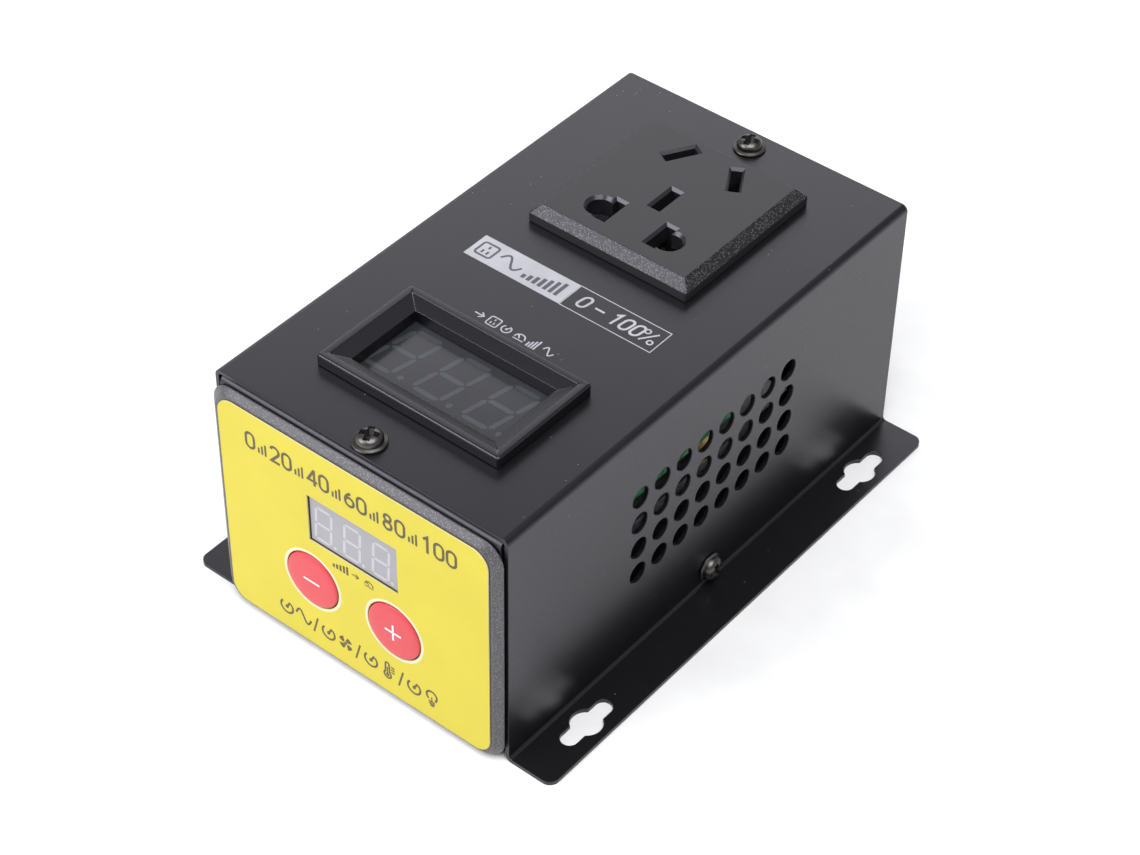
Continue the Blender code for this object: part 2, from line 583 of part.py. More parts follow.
for tag, x, y in (("a", -26.5, -26.5), ("b", 26.5, -26.5), ("c", -26.5, 9.5), ("d", 26.5, 9.5)):
    pan_screw("board_screw_" + tag, "Z", x, y, BOARD_Z + BOARD_T + SEAT, 1, 2.3, 1.5, 2.3, 1.0, 6.0, "steel")

deck = BOARD_Z + BOARD_T + GAP
bevel(box("film_capacitor", 3.0, 21.0, -19.5, -11.0, deck, deck + 14.5, "yellow_film"), 0.7, 2)
can = [
    (5.0, deck), (5.0, deck + 1.2), (4.7, deck + 1.7), (5.0, deck + 2.2), (5.0, deck + 14.6), (4.6, deck + 15.0),
    (0.0, deck + 15.0),
]
lathe("electrolytic_capacitor", can, "Z", -4.5, -14.5, 24, "capacitor_sleeve")
core = box("transformer_core", -30.0, -12.0, -20.0, -5.0, deck, deck + 14.0, "ferrite")
cut(core, box("core_window", -26.0, -16.0, -24.0, -2.0, deck + 3.2, deck + 10.8))
prism("transformer_winding", rounded_rect(-21.0, deck + 7.0, 4.7, 3.5, 1.2, 3), "Y", -21.8, -3.2, "tape_yellow")
choke = lathe("choke_core", [(8.2, deck + 0.6), (8.2, deck + 6.6)], "Z", *CHOKE, 28, "ferrite")
bevel(choke, 0.6, 2)
cut(choke, cylinder("choke_bore", *CHOKE, 4.2, "Z", deck - 2.0, deck + 9.0, 24))


def swept(r0, r1, z0, z1, start, end, steps):
    """A bar of rectangular section bent round the choke's axis, from start to end degrees."""
    rings = []
    for i in range(steps + 1):
        a = math.radians(start + (end - start) * i / steps)
        c, s = math.cos(a), math.sin(a)
        rings.append([(CHOKE[0] + r * c, CHOKE[1] + r * s, z) for r, z in ((r0, z0), (r1, z0), (r1, z1), (r0, z1))])
    return [rings]


winding = solid("choke_winding", swept(3.3, 9.1, deck + 0.05, deck + 7.2, -60.0, 240.0, 20), "copper_wire")
cut(winding, solid("choke_winding_bore", swept(3.9, 8.5, deck + 0.35, deck + 6.9, -66.0, 246.0, 20)))
tube = [(2.6, -9.0), (2.6, -4.2), (2.35, -4.0), (2.35, 5.0), (2.6, 5.2), (2.6, 10.0)]
lathe("fuse_tube", tube, "X", 5.5, deck + 4.6, 20, "ceramic_white")
for tag, x in (("left", -6.8), ("right", 7.8)):
    clip = box("fuse_clip_" + tag, x - 2.0, x + 2.0, 2.2, 8.8, deck, deck + 6.4, "brass")
    cut(clip, cylinder("fuse_clip_bore_" + tag, 5.5, deck + 4.6, 2.9, "X", x - 4.0, x + 4.0, 16))
    cut(clip, box("fuse_clip_mouth_" + tag, x - 4.0, x + 4.0, 3.6, 7.4, deck + 4.6, deck + 9.0))
terminal = box("terminal_block", -32.0, -11.5, -1.5, 5.9, deck, deck + 9.5, "green_terminal")
wells = []
ports = []
for i, x in enumerate((-28.4, -21.75, -15.1)):
    spot = circle(x, 2.2, 2.2, 16)
    wells.append([lift(spot, "Z", deck + 6.0), lift(spot, "Z", deck + 12.0)])
    shank = circle(x, 2.2, 1.4, 12)
    ports.append([lift(shank, "Z", deck + 2.0), lift(shank, "Z", deck + 8.0)])
cut(terminal, solid("terminal_wells", wells), solid("terminal_bores", ports))
entries = []
for x in (-28.4, -21.75, -15.1):
    mouth = rect(x, deck + 3.0, 1.9, 1.6)
    entries.append([lift(mouth, "Y", 1.4), lift(mouth, "Y", 8.0)])
cut(terminal, solid("terminal_entries", entries))
for tag, x in (("left", -28.4), ("middle", -21.75), ("right", -15.1)):
    pan_screw("terminal_screw_" + tag, "Z", x, 2.2, deck + 6.3, 1, 1.85, 1.3, 1.85, 1.1, 3.8, "steel")

# ---------------------------------------------------------------- fan
frame = prism("fan_frame", rounded_rect(0.0, FAN_Z, FAN_HALF, FAN_HALF, 3.0, 3), "Y", *FAN_Y, "black_plastic")
cut(frame, cylinder("fan_duct", 0.0, FAN_Z, 23.4, "Y", FAN_Y[0] + 1.8, 67.0, 40))
openings = []
for i in range(3):
    start = 120.0 * i
    inner = arc(0.0, FAN_Z, 9.2, start + 9.2, start + 110.8, 8)
    outer = arc(0.0, FAN_Z, 23.0, start + 4.0, start + 116.0, 12)
    loop = inner + outer[::-1]
    openings.append([lift(loop, "Y", FAN_Y[0] - 3.0), lift(loop, "Y", FAN_Y[0] + 3.0)])
cut(frame, solid("fan_spoke_cutter", openings))
fan_holes = []
for sx in (-1, 1):
    for sz in (-1, 1):
        spot = circle(sx * FAN_SCREW, FAN_Z + sz * FAN_SCREW, 1.7, 12)
        fan_holes.append([lift(spot, "Y", FAN_Y[1] - 8.0), lift(spot, "Y", 67.0)])
fan_holes.append([lift(circle(0.0, FAN_Z, 1.5, 12), "Y", 50.0), lift(circle(0.0, FAN_Z, 1.5, 12), "Y", 60.0)])
cut(frame, solid("fan_hole_cutter", fan_holes))
hub = [(1.1, 54.9), (1.1, 57.0), (9.6, 57.0), (10.0, 57.4), (10.0, 62.9), (9.3, 63.6), (0.0, 63.6)]
rotor = lathe("fan_rotor", hub, "Y", 0.0, FAN_Z, 28, "black_plastic", (0.0, 60.0, FAN_Z))
blades = []
for i in range(7):
    turn = Matrix.Rotation(math.tau * i / 7, 3, "Y")
    rings = []
    for radius, pitch, half in ((9.0, 42.0, 3.9), (15.5, 34.0, 4.6), (22.6, 27.0, 5.2)):
        c, s = math.cos(math.radians(pitch)), math.sin(math.radians(pitch))
        ring = []
        for u, v in ((-half, -0.45), (half, -0.45), (half, 0.45), (-half, 0.45)):
            chord = u * c - v * s
            depth = u * s + v * c
            around = chord / radius
            spot = turn @ Vector((radius * math.cos(around), 60.2 + depth, radius * math.sin(around)))
            ring.append((spot.x, spot.y, spot.z + FAN_Z))
        rings.append(ring)
    blades.append(rings)
join(rotor, solid("rotor_blades", blades))
for sx, side in ((-1, "left"), (1, "right")):
    for sz, level in ((-1, "low"), (1, "high")):
        pan_screw(
            f"fan_screw_{side}_{level}", "Y", sx * FAN_SCREW, FAN_Z + sz * FAN_SCREW, 66.25, 1, 2.8, 1.7, 2.8, 1.3,
            8.0, "dark_nickel",
        )
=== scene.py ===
"""Looks for the boxed voltage regulator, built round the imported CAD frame. Sizes are in millimetres."""

import math

import bmesh
import bpy
from mathutils import Matrix, Vector


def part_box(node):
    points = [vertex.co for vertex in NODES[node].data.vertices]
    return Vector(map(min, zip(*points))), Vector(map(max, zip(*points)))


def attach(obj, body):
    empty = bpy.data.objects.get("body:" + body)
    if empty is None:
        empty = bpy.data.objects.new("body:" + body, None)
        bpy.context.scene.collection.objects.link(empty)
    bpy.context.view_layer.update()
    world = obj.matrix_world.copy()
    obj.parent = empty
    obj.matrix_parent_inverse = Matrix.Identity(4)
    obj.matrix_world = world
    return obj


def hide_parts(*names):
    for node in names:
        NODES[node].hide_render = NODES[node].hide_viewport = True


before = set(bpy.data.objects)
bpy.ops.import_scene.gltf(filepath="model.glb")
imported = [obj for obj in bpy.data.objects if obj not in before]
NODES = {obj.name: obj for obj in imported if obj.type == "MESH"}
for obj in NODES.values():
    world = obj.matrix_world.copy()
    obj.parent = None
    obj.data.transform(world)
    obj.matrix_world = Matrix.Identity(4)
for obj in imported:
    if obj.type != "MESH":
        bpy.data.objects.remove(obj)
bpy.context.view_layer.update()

MM = 0.001
CASE = "case"


# ---------------- places from the frame
COVER_BOX = [[c / MM for c in corner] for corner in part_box("cover")]
CY = (COVER_BOX[0][1] + COVER_BOX[1][1]) / 2  # the cover's middle along Y; every y below counts from it


def span(node):
    """(x0, y0, z0), (x1, y1, z1) of a CAD node in millimetres, y from the cover's middle."""
    low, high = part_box(node)
    return [low[0] / MM, low[1] / MM - CY, low[2] / MM], [high[0] / MM, high[1] / MM - CY, high[2] / MM]


def middle(node):
    low, high = span(node)
    return [(a + b) / 2 for a, b in zip(low, high)]


FLANGE_X, HALF_L, TOP_Z = span("cover")[1]
WALL_X = 38.0  # outer faces of the cover's side walls
SHEET = 1.0  # thickness of the steel
FOLD_OUT = 1.6  # outside radius of a fold
CORNER = 2.4  # radius of the flange corners
EDGE = 0.13  # how far a sheared or punched edge is broken
SEAT_GAP = 0.15  # between the sheet and what is fitted on it
VENT_R, VENT_PITCH, VENT_FIRST_Y, VENT_TOP_Z = 2.52, 7.09, -25.1, 43.54
VENT_COLUMNS, VENT_ROWS = 8, 4
KEYHOLE_X, KEYHOLE_Y, KEYHOLE_R = 43.8, 48.2, 3.5
SLOT_HX, SLOT_HY = 1.95, 7.45  # half sizes of a keyhole's slot
METER_HOLE, OUTLET_HOLE = (22.5, 13.1), (19.0, 19.4)  # half sizes of the lid's openings


# ---------------- outlines
def arc(cx, cy, r, start, end, steps):
    out = []
    for i in range(steps + 1):
        a = math.radians(start + (end - start) * i / steps)
        out.append((cx + r * math.cos(a), cy + r * math.sin(a)))
    return out


def rounded_rect(cx, cy, hx, hy, r, steps=8):
    out = []
    for sx, sy, a in ((1, 1, 0), (-1, 1, 90), (-1, -1, 180), (1, -1, 270)):
        out += arc(cx + sx * (hx - r), cy + sy * (hy - r), r, a, a + 90, steps)
    return out


def rect(cx, cy, hx, hy):
    return [(cx + hx, cy + hy), (cx - hx, cy + hy), (cx - hx, cy - hy), (cx + hx, cy - hy)]


def circle(cx, cy, r, steps=40):
    return arc(cx, cy, r, 0, 360 - 360 / steps, steps - 1)


def turned(points, cx, cy, degrees):
    c, s = math.cos(math.radians(degrees)), math.sin(math.radians(degrees))
    return [(cx + (x - cx) * c - (y - cy) * s, cy + (x - cx) * s + (y - cy) * c) for x, y in points]


def lift(points, axis, at):
    if axis == "Z":
        return [(u, v, at) for u, v in points]
    if axis == "Y":
        return [(u, at, v) for u, v in points]
    return [(at, u, v) for u, v in points]


# ---------------- solids
def mesh_object(name, mesh, look=None):
    made = bpy.data.objects.new(name, mesh)
    bpy.context.scene.collection.objects.link(made)
    if look:
        mesh.materials.append(look)
    return made


def soften(mesh, degrees=32.0):
    """Smooth shading, kept sharp where two faces meet at more than this."""
    form = bmesh.new()
    form.from_mesh(mesh)
    limit = math.radians(degrees)
    for face in form.faces:
        face.smooth = True
    for edge in form.edges:
        edge.smooth = len(edge.link_faces) != 2 or edge.calc_face_angle(0.0) < limit
    form.to_mesh(mesh)
    form.free()


def solid(name, shells, look=None, degrees=32.0, looped=False):
    """Closed shells in one mesh; a shell is a stack of rings, capped at both ends or joined into a loop."""
    mesh = bpy.data.meshes.new(name)
    form = bmesh.new()
    for rings in shells:
        rows = [[form.verts.new((x * MM, (y + CY) * MM, z * MM)) for x, y, z in ring] for ring in rings]
        after = rows[1:] + rows[:1] if looped else rows[1:]
        for lower, upper in zip(rows, after):
            n = len(lower)
            for i in range(n):
                form.faces.new((lower[i], lower[(i + 1) % n], upper[(i + 1) % n], upper[i]))
        if not looped:
            form.faces.new(rows[0][::-1])
            form.faces.new(rows[-1])
    bmesh.ops.recalc_face_normals(form, faces=form.faces)
    form.to_mesh(mesh)
    form.free()
    soften(mesh, degrees)
    return mesh_object(name, mesh, look)


def loft(name, rings, look=None, degrees=32.0):
    """A frame or bush: each ring is joined to the next and the last to the first."""
    return solid(name, [rings], look, degrees, looped=True)


def prism(name, outline, axis, start, end, look=None):
    return solid(name, [[lift(outline, axis, start), lift(outline, axis, end)]], look)


def box(name, x0, x1, y0, y1, z0, z1, look=None):
    return prism(name, [(x0, y0), (x1, y0), (x1, y1), (x0, y1)], "Z", z0, z1, look)


def box_at(name, cx, cy, half, z0, z1, look=None):
    return box(name, cx - half[0], cx + half[0], cy - half[1], cy + half[1], z0, z1, look)


def lathe(name, profile, axis, cu, cv, steps=48, look=None):
    """A turned solid; the profile's points are (radius, place along the axis)."""
    rings = [lift(circle(cu, cv, max(r, 0.01), steps), axis, at) for r, at in profile]
    return solid(name, [rings], look)


def settle(target):
    """Replaces the object's mesh with what its modifiers make of it."""
    graph = bpy.context.evaluated_depsgraph_get()
    mesh = bpy.data.meshes.new_from_object(target.evaluated_get(graph), depsgraph=graph)
    mesh.name = target.name
    target.modifiers.clear()
    target.data = mesh
    return target


def combine(target, operation, others):
    for other in others:
        step = target.modifiers.new(other.name, "BOOLEAN")
        step.operation = operation
        step.solver = "EXACT"
        step.object = other
        if other.data.materials:
            step.material_mode = "TRANSFER"
    bpy.context.view_layer.update()
    settle(target)
    for other in others:
        bpy.data.objects.remove(other, do_unlink=True)
    return target


def cut(target, *cutters):
    return combine(target, "DIFFERENCE", cutters)


def join(target, *others):
    return combine(target, "UNION", others)


def round_edges(target, width, segments=2, degrees=40.0):
    """Rounds the edges where two faces meet at more than this."""
    step = target.modifiers.new("edge_round", "BEVEL")
    step.width = width * MM
    step.segments = segments
    step.limit_method = "ANGLE"
    step.angle_limit = math.radians(degrees)
    step.use_clamp_overlap = True
    bpy.context.view_layer.update()
    return settle(target)


def crisp(target, degrees=34.0):
    """Shades by area, so that the flats stay flat beside their rounded edges."""
    soften(target.data, degrees)
    shade = target.modifiers.new("flat_shading", "WEIGHTED_NORMAL")
    shade.keep_sharp = True
    return target


def own(piece, body, slot, *nodes):
    """The piece rides on the body and stands for these CAD nodes, which it hides; slot is not used."""
    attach(piece, body)
    if nodes:
        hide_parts(*nodes)
    return piece


# ---------------- materials
class Look:
    """A material with short calls for the nodes that every surface here is made of."""

    def __init__(self, name, colour, roughness, metallic=0.0, coat=0.0, coat_roughness=0.1, specular=0.5):
        self.material = bpy.data.materials.new(name)
        self.material.use_nodes = True
        self.tree = self.material.node_tree
        self.shader = self.tree.nodes["Principled BSDF"]
        self.colour = (*colour, 1.0)
        self.set("Base Color", self.colour)
        self.set("Roughness", roughness)
        self.set("Metallic", metallic)
        self.set("Coat Weight", coat)
        self.set("Coat Roughness", coat_roughness)
        self.set("Specular IOR Level", specular)
        self.material.diffuse_color = self.colour
        self.place = self.node("ShaderNodeTexCoord").outputs["Object"]
        self.height = None

    def set(self, socket, value):
        self.shader.inputs[socket].default_value = value

    def node(self, kind, **settings):
        made = self.tree.nodes.new(kind)
        for key, value in settings.items():
            setattr(made, key, value)
        return made

    def wire(self, source, target):
        self.tree.links.new(source, target)

    def noise(self, size_mm, detail=2.0, roughness=0.5, stretch=None):
        made = self.node("ShaderNodeTexNoise")
        made.inputs["Scale"].default_value = 1.0 / (size_mm * MM)
        made.inputs["Detail"].default_value = detail
        made.inputs["Roughness"].default_value = roughness
        self.wire(self.stretched(stretch), made.inputs["Vector"])
        return made.outputs["Fac"]

    def cells(self, size_mm, feature="F1"):
        made = self.node("ShaderNodeTexVoronoi", feature=feature)
        made.inputs["Scale"].default_value = 1.0 / (size_mm * MM)
        self.wire(self.place, made.inputs["Vector"])
        return made.outputs["Distance"]

    def stretched(self, stretch):
        if stretch is None:
            return self.place
        made = self.node("ShaderNodeMapping")
        made.inputs["Scale"].default_value = stretch
        self.wire(self.place, made.inputs["Vector"])
        return made.outputs["Vector"]

    def ramp(self, source, *stops):
        """A curve through stops of (where, grey or colour)."""
        made = self.node("ShaderNodeValToRGB")
        elements = made.color_ramp.elements
        while len(elements) < len(stops):
            elements.new(0.5)
        for element, (where, value) in zip(elements, stops):
            element.position = where
            element.color = (value, value, value, 1.0) if isinstance(value, float) else (*value, 1.0)
        self.wire(source, made.inputs["Fac"])
        return made.outputs["Color"]

    def mix(self, amount, first, second):
        made = self.node("ShaderNodeMix", data_type="RGBA")
        for socket, value in ((made.inputs[0], amount), (made.inputs[6], first), (made.inputs[7], second)):
            if isinstance(value, (int, float)):
                socket.default_value = value
            elif isinstance(value, tuple):
                socket.default_value = value if len(value) == 4 else (*value, 1.0)
            else:
                self.wire(value, socket)
        return made.outputs[2]

    def math(self, operation, first, second=0.0):
        made = self.node("ShaderNodeMath", operation=operation)
        for socket, value in zip(made.inputs, (first, second)):
            if isinstance(value, (int, float)):
                socket.default_value = value
            else:
                self.wire(value, socket)
        return made.outputs[0]

    def paint(self, colour):
        self.wire(colour, self.shader.inputs["Base Color"])

    def gloss(self, source, low, high):
        """Roughness between low and high, following the source from 0 to 1."""
        made = self.node("ShaderNodeMapRange")
        made.inputs["To Min"].default_value = low
        made.inputs["To Max"].default_value = high
        self.wire(source, made.inputs["Value"])
        self.wire(made.outputs["Result"], self.shader.inputs["Roughness"])

    def bump(self, source, depth_mm, strength=1.0):
        made = self.node("ShaderNodeBump")
        made.inputs["Strength"].default_value = strength
        made.inputs["Distance"].default_value = depth_mm * MM
        self.wire(source, made.inputs["Height"])
        if self.height is not None:
            self.wire(self.height, made.inputs["Normal"])
        self.height = made.outputs["Normal"]
        self.wire(self.height, self.shader.inputs["Normal"])


def scaled(colour, by):
    return tuple(min(1.0, c * by) for c in colour)


def powder_coat(name, grey=0.0045, roughness=0.33):
    """Satin black paint with a fine orange peel, slightly uneven gloss and a few specks of dust."""
    look = Look(name, (grey, grey, grey * 1.08), roughness, specular=0.59)
    look.set("Specular Tint", (0.87, 0.83, 1.0, 1.0))
    patches = look.noise(9.0, 3.0)
    dull, clean = (grey * 0.88, grey * 0.88, grey * 0.95), (grey * 1.12, grey * 1.12, grey * 1.2)
    shade = look.ramp(patches, (0.3, dull), (0.7, clean))
    dust = look.ramp(look.cells(2.3), (0.0, 1.0), (0.030, 1.0), (0.042, 0.0))
    keep = look.ramp(look.noise(13.0, 1.0), (0.50, 0.0), (0.56, 1.0))
    specks = look.math("MULTIPLY", dust, keep)
    look.paint(look.mix(specks, shade, (0.40, 0.40, 0.42)))
    look.gloss(look.noise(0.9, 3.0, 0.6), roughness - 0.07, roughness + 0.07)
    look.bump(look.noise(0.55, 2.0, 0.55), 0.010, 0.55)
    look.bump(look.noise(0.12, 1.0), 0.003, 0.35)
    return look.material


def grained(name, grey, roughness, cell, depth, painted_glint_grey=0.0):
    """Moulded black plastic with a spark-eroded grain, its colour painted darker in the pits and lighter on
    the crests (painted shade and highlight), with optional light dots as painted glints.
    """
    look = Look(name, (grey, grey, grey * 1.05), roughness)
    look.set("Specular Tint", (0.90, 0.87, 1.0, 1.0))
    grain = look.cells(cell, "SMOOTH_F1")
    fine = look.noise(cell * 0.45, 2.0, 0.6)
    # colour follows the fine grain's height: painted shade in the pits, painted highlight on the crests
    painted_pit_shade, painted_crest_highlight = (grey * 0.75, grey * 0.75, grey * 0.78), (grey * 1.35, grey * 1.35, grey * 1.42)
    grain_with_painted_light = look.ramp(fine, (0.30, painted_pit_shade), (0.72, painted_crest_highlight))
    if painted_glint_grey:
        # light dots mixed into the colour: painted glints
        painted_highlight_dots = look.ramp(look.cells(cell * 1.7), (0.20, painted_glint_grey), (0.42, 0.0))
        grain_with_painted_light = look.mix(painted_highlight_dots, grain_with_painted_light, (0.26, 0.26, 0.275))
    look.paint(grain_with_painted_light)
    look.gloss(fine, roughness - 0.10, roughness + 0.10)
    look.bump(grain, depth, 0.8)
    look.bump(fine, depth * 0.5, 0.6)
    return look.material


def moulded(name, colour, roughness, coat=0.0, waviness=0.004, specular=0.5, vary=0.05):
    """Smooth plastic, rubber, ink or ceramic; vary is how far its roughness wanders."""
    look = Look(name, colour, roughness, coat=coat, specular=specular)
    look.set("Specular Tint", (0.90, 0.87, 1.0, 1.0))
    soft = look.noise(6.0, 2.0)
    look.paint(look.ramp(soft, (0.3, scaled(colour, 0.92)), (0.7, scaled(colour, 1.08))))
    look.gloss(look.noise(0.7, 3.0, 0.6), roughness - vary, roughness + vary)
    look.bump(look.noise(0.35, 2.0), waviness, 0.5)
    return look.material


def metal(name, colour, roughness, brushed=None, dirt=0.25):
    """Bare or plated metal with fine marks and some tarnish."""
    look = Look(name, colour, roughness, 1.0)
    marks = look.noise(0.5, 4.0, 0.6, brushed)
    grime = look.noise(2.2, 4.0, 0.6)
    dark = tuple(c * (1.0 - dirt) for c in colour)
    look.paint(look.mix(look.ramp(grime, (0.45, 0.0), (0.75, 1.0)), (*colour, 1.0), (*dark, 1.0)))
    look.gloss(marks, roughness * 0.75, roughness * 1.35)
    look.bump(marks, 0.006, 0.4)
    return look.material


def circuit_board(name, colour=(0.012, 0.115, 0.045)):
    """Green solder mask over copper tracks."""
    look = Look(name, colour, 0.38, coat=0.3)
    tracks = look.node("ShaderNodeTexBrick")
    tracks.inputs["Scale"].default_value = 1.0 / (6.0 * MM)
    tracks.inputs["Color1"].default_value = (*colour, 1.0)
    tracks.inputs["Color2"].default_value = (*scaled(colour, 0.8), 1.0)
    tracks.inputs["Mortar"].default_value = (*scaled(colour, 2.2), 1.0)
    tracks.inputs["Mortar Size"].default_value = 0.06
    look.wire(look.place, tracks.inputs["Vector"])
    fill = look.ramp(look.noise(8.0), (0.4, 0.0), (0.6, 0.6))
    look.paint(look.mix(fill, tracks.outputs["Color"], scaled(colour, 1.3)))
    look.gloss(look.noise(1.5, 3.0), 0.32, 0.5)
    look.bump(tracks.outputs["Fac"], 0.03, 0.4)
    return look.material


def film(name, colour, roughness=0.33, coat=0.25, specular=0.5):
    """Printed polyester film: even colour, a faint fibre and a soft ripple."""
    look = Look(name, colour, roughness, coat=coat, coat_roughness=0.22, specular=specular)
    cloud = look.noise(16.0, 2.0)
    look.paint(look.ramp(cloud, (0.35, scaled(colour, 0.97)), (0.65, scaled(colour, 1.02))))
    look.gloss(look.noise(1.2, 3.0, 0.6), roughness - 0.04, roughness + 0.06)
    look.bump(look.noise(0.28, 2.0), 0.004, 0.45)
    look.bump(look.noise(7.0, 1.0), 0.03, 0.3)
    return look.material


COAT = powder_coat("powder_coat_black")
# the tray wears the cover's black powder coat; this copy is lighter, painted light on the tray
TRAY_COAT_PAINTED_LIGHTER = powder_coat("powder_coat_tray_painted_lighter", 0.008, 0.36)
# grained plastics carry painted shade and highlight in their grain; the panel and the outlet's sloping edge
# also get painted glints
PANEL = grained("grained_panel", 0.062, 0.38, 0.26, 0.045, painted_glint_grey=0.45)
OUTLET_FACE = grained("outlet_face", 0.019, 0.42, 0.26, 0.006)
OUTLET_EDGE = grained("outlet_edge", 0.010, 0.33, 0.24, 0.050, painted_glint_grey=0.44)
OUTLET_BODY = moulded("outlet_inside", (0.014, 0.014, 0.017), 0.28, waviness=0.001, specular=0.65, vary=0.015)
METER_CASE = moulded("meter_case", (0.006, 0.006, 0.007), 0.27, waviness=0.0006, specular=0.6, vary=0.012)
WINDOW_GLASS = moulded("meter_window", (0.026, 0.027, 0.031), 0.20, waviness=0.0003, specular=0.42)
METER_SEGMENT = moulded("meter_segment", (0.046, 0.053, 0.058), 0.24, waviness=0.0003, specular=0.42)
LABEL = film("label_film", (0.595, 0.505, 0.034), 0.36, 0.0, 0.33)
LABEL_EDGE = film("label_edge", (0.66, 0.60, 0.30), 0.4)
PRINT_DARK = moulded("print_dark", (0.085, 0.065, 0.030), 0.5, waviness=0.001)
PRINT_WHITE = moulded("print_white", (0.385, 0.385, 0.425), 0.5, waviness=0.001)
BUTTON_RED = film("button_red", (0.60, 0.036, 0.058), 0.36, 0.05)
BUTTON_MARK = moulded("button_mark", (0.86, 0.80, 0.80), 0.45, waviness=0.001)
DISPLAY_FACE = film("display_face", (0.300, 0.295, 0.335), 0.35, 0.1)
DISPLAY_SEGMENT = film("display_segment", (0.43, 0.43, 0.465), 0.32, 0.1)
DISPLAY_RIM = moulded("display_rim", (0.03, 0.028, 0.02), 0.5)
SCREW = metal("screw_black_nickel", (0.120, 0.115, 0.110), 0.33)
# near-black, non-metal colour for the walls of the screws' cross recess: painted shade in the recess
SCREW_RECESS_PAINTED_SHADE = moulded("screw_recess_painted_shade", (0.012, 0.012, 0.012), 0.5, waviness=0.002)
STEEL = metal("plated_steel", (0.55, 0.55, 0.56), 0.3)
BRASS = metal("brass", (0.80, 0.58, 0.25), 0.28)
ALUMINIUM = metal("extruded_aluminium", (0.66, 0.67, 0.69), 0.36, (1.0, 0.02, 1.0))
BOARD_GREEN = circuit_board("board_green")
RUBBER = moulded("black_rubber", (0.018, 0.018, 0.018), 0.8, waviness=0.01)
FAN_BLACK = moulded("fan_black", (0.020, 0.020, 0.022), 0.38)
LABEL_RING = film("label_ring", (0.66, 0.64, 0.51), 0.3, 0.2)
BADGE_INK = moulded("badge_ink", (0.075, 0.075, 0.085), 0.5, waviness=0.001)
TINNED = metal("tinned_copper", (0.75, 0.76, 0.76), 0.3)
CAPACITOR_BLUE = moulded("capacitor_sleeve", (0.012, 0.022, 0.085), 0.35, coat=0.2)
CAPACITOR_YELLOW = moulded("capacitor_film_wrap", (0.40, 0.25, 0.03), 0.42, coat=0.2)
FERRITE = moulded("ferrite", (0.045, 0.045, 0.045), 0.7, waviness=0.02)
COPPER = metal("enamelled_copper", (0.60, 0.24, 0.09), 0.28, (0.2, 0.2, 6.0))
TAPE = moulded("coil_tape", (0.72, 0.58, 0.10), 0.45)
CERAMIC = moulded("fuse_ceramic", (0.78, 0.77, 0.72), 0.4)
TERMINAL_GREEN = moulded("terminal_green", (0.03, 0.28, 0.11), 0.45)
FLOOR = film("studio_floor", (0.90, 0.90, 0.905), 0.8, 0.0, 0.3)


# ---------------- cover
def cover_outline():
    """The folded sheet seen from the front: flanges, side walls and top."""
    w, h, t, out = WALL_X, TOP_Z, SHEET, FOLD_OUT
    foot = out - t + 0.2
    right = [(FLANGE_X, 0.0), (FLANGE_X, t)]
    right += arc(w + foot, t + foot, foot, 270, 180, 7)
    right += arc(w - out, h - out, out, 0, 90, 9)
    left = [(-x, z) for x, z in reversed(right)]
    inner = arc(-(w + foot), foot + t, foot + t, 270, 360, 7)
    inner += arc(-(w - out), h - out, out - t, 180, 90, 6)
    return right + left + inner + [(-x, z) for x, z in reversed(inner)]


def countersunk(outline_at, axis, face, out, deep):
    """Rings of a hole cutter that breaks the edge at the face; out is the way out of the sheet, +1 or -1."""
    return [
        lift(outline_at(0.0), axis, face - out * deep),
        lift(outline_at(0.0), axis, face - out * EDGE),
        lift(outline_at(EDGE), axis, face),
        lift(outline_at(EDGE + 0.6), axis, face + out * 0.6),
    ]


def keyhole_slot(x, y, grow):
    """A slot whose end rounds stop just short of half circles, so that no two points meet."""
    return rounded_rect(x, y, SLOT_HX + grow, SLOT_HY + grow, SLOT_HX + grow - 0.01)


cover = prism("cover_sheet", cover_outline(), "Y", -HALF_L, HALF_L, COAT)
round_edges(cover, EDGE)
vents = []
for column in range(VENT_COLUMNS):
    for row in range(VENT_ROWS):
        y, z = VENT_FIRST_Y + VENT_PITCH * column, VENT_TOP_Z - VENT_PITCH * row
        for side in (-1, 1):
            vents.append(countersunk(lambda d: circle(y, z, VENT_R + d, 32), "X", side * WALL_X, side, 3.0))
cut(cover, solid("vent_cutter", vents))
meter_x, meter_y = middle("voltmeter_window")[:2]
outlet_x, outlet_y = middle("socket_plate")[:2]
cut(
    cover,
    box_at("meter_hole", meter_x, meter_y, METER_HOLE, TOP_Z - 4, TOP_Z + 2),
    box_at("outlet_hole", outlet_x, outlet_y, OUTLET_HOLE, TOP_Z - 4, TOP_Z + 2),
)
trims = []
slots = []
rounds = []
for sx in (-1, 1):
    for sy in (-1, 1):
        x, y = sx * KEYHOLE_X, sy * KEYHOLE_Y
        slots.append(countersunk(lambda d: keyhole_slot(x, y, d), "Z", SHEET, 1, 3.0))
        rounds.append(countersunk(lambda d: circle(x, y, KEYHOLE_R + d, 48), "Z", SHEET + 0.001, 1, 3.2))
        corner = [(sx * (FLANGE_X + 1), sy * (HALF_L + 1)), (sx * (FLANGE_X + 1), sy * (HALF_L - CORNER))]
        corner += [(sx * u, sy * v) for u, v in arc(FLANGE_X - CORNER, HALF_L - CORNER, CORNER, 0, 90, 8)]
        corner.append((sx * (FLANGE_X - CORNER), sy * (HALF_L + 1)))
        trims.append([lift(corner, "Z", -1), lift(corner, "Z", 2.5)])
cut(cover, join(solid("keyhole_cutter", slots), solid("keyhole_rounds", rounds)))
cut(cover, solid("corner_cutter", trims))
crisp(cover)
own(cover, CASE, "black_powder_coat", "cover")


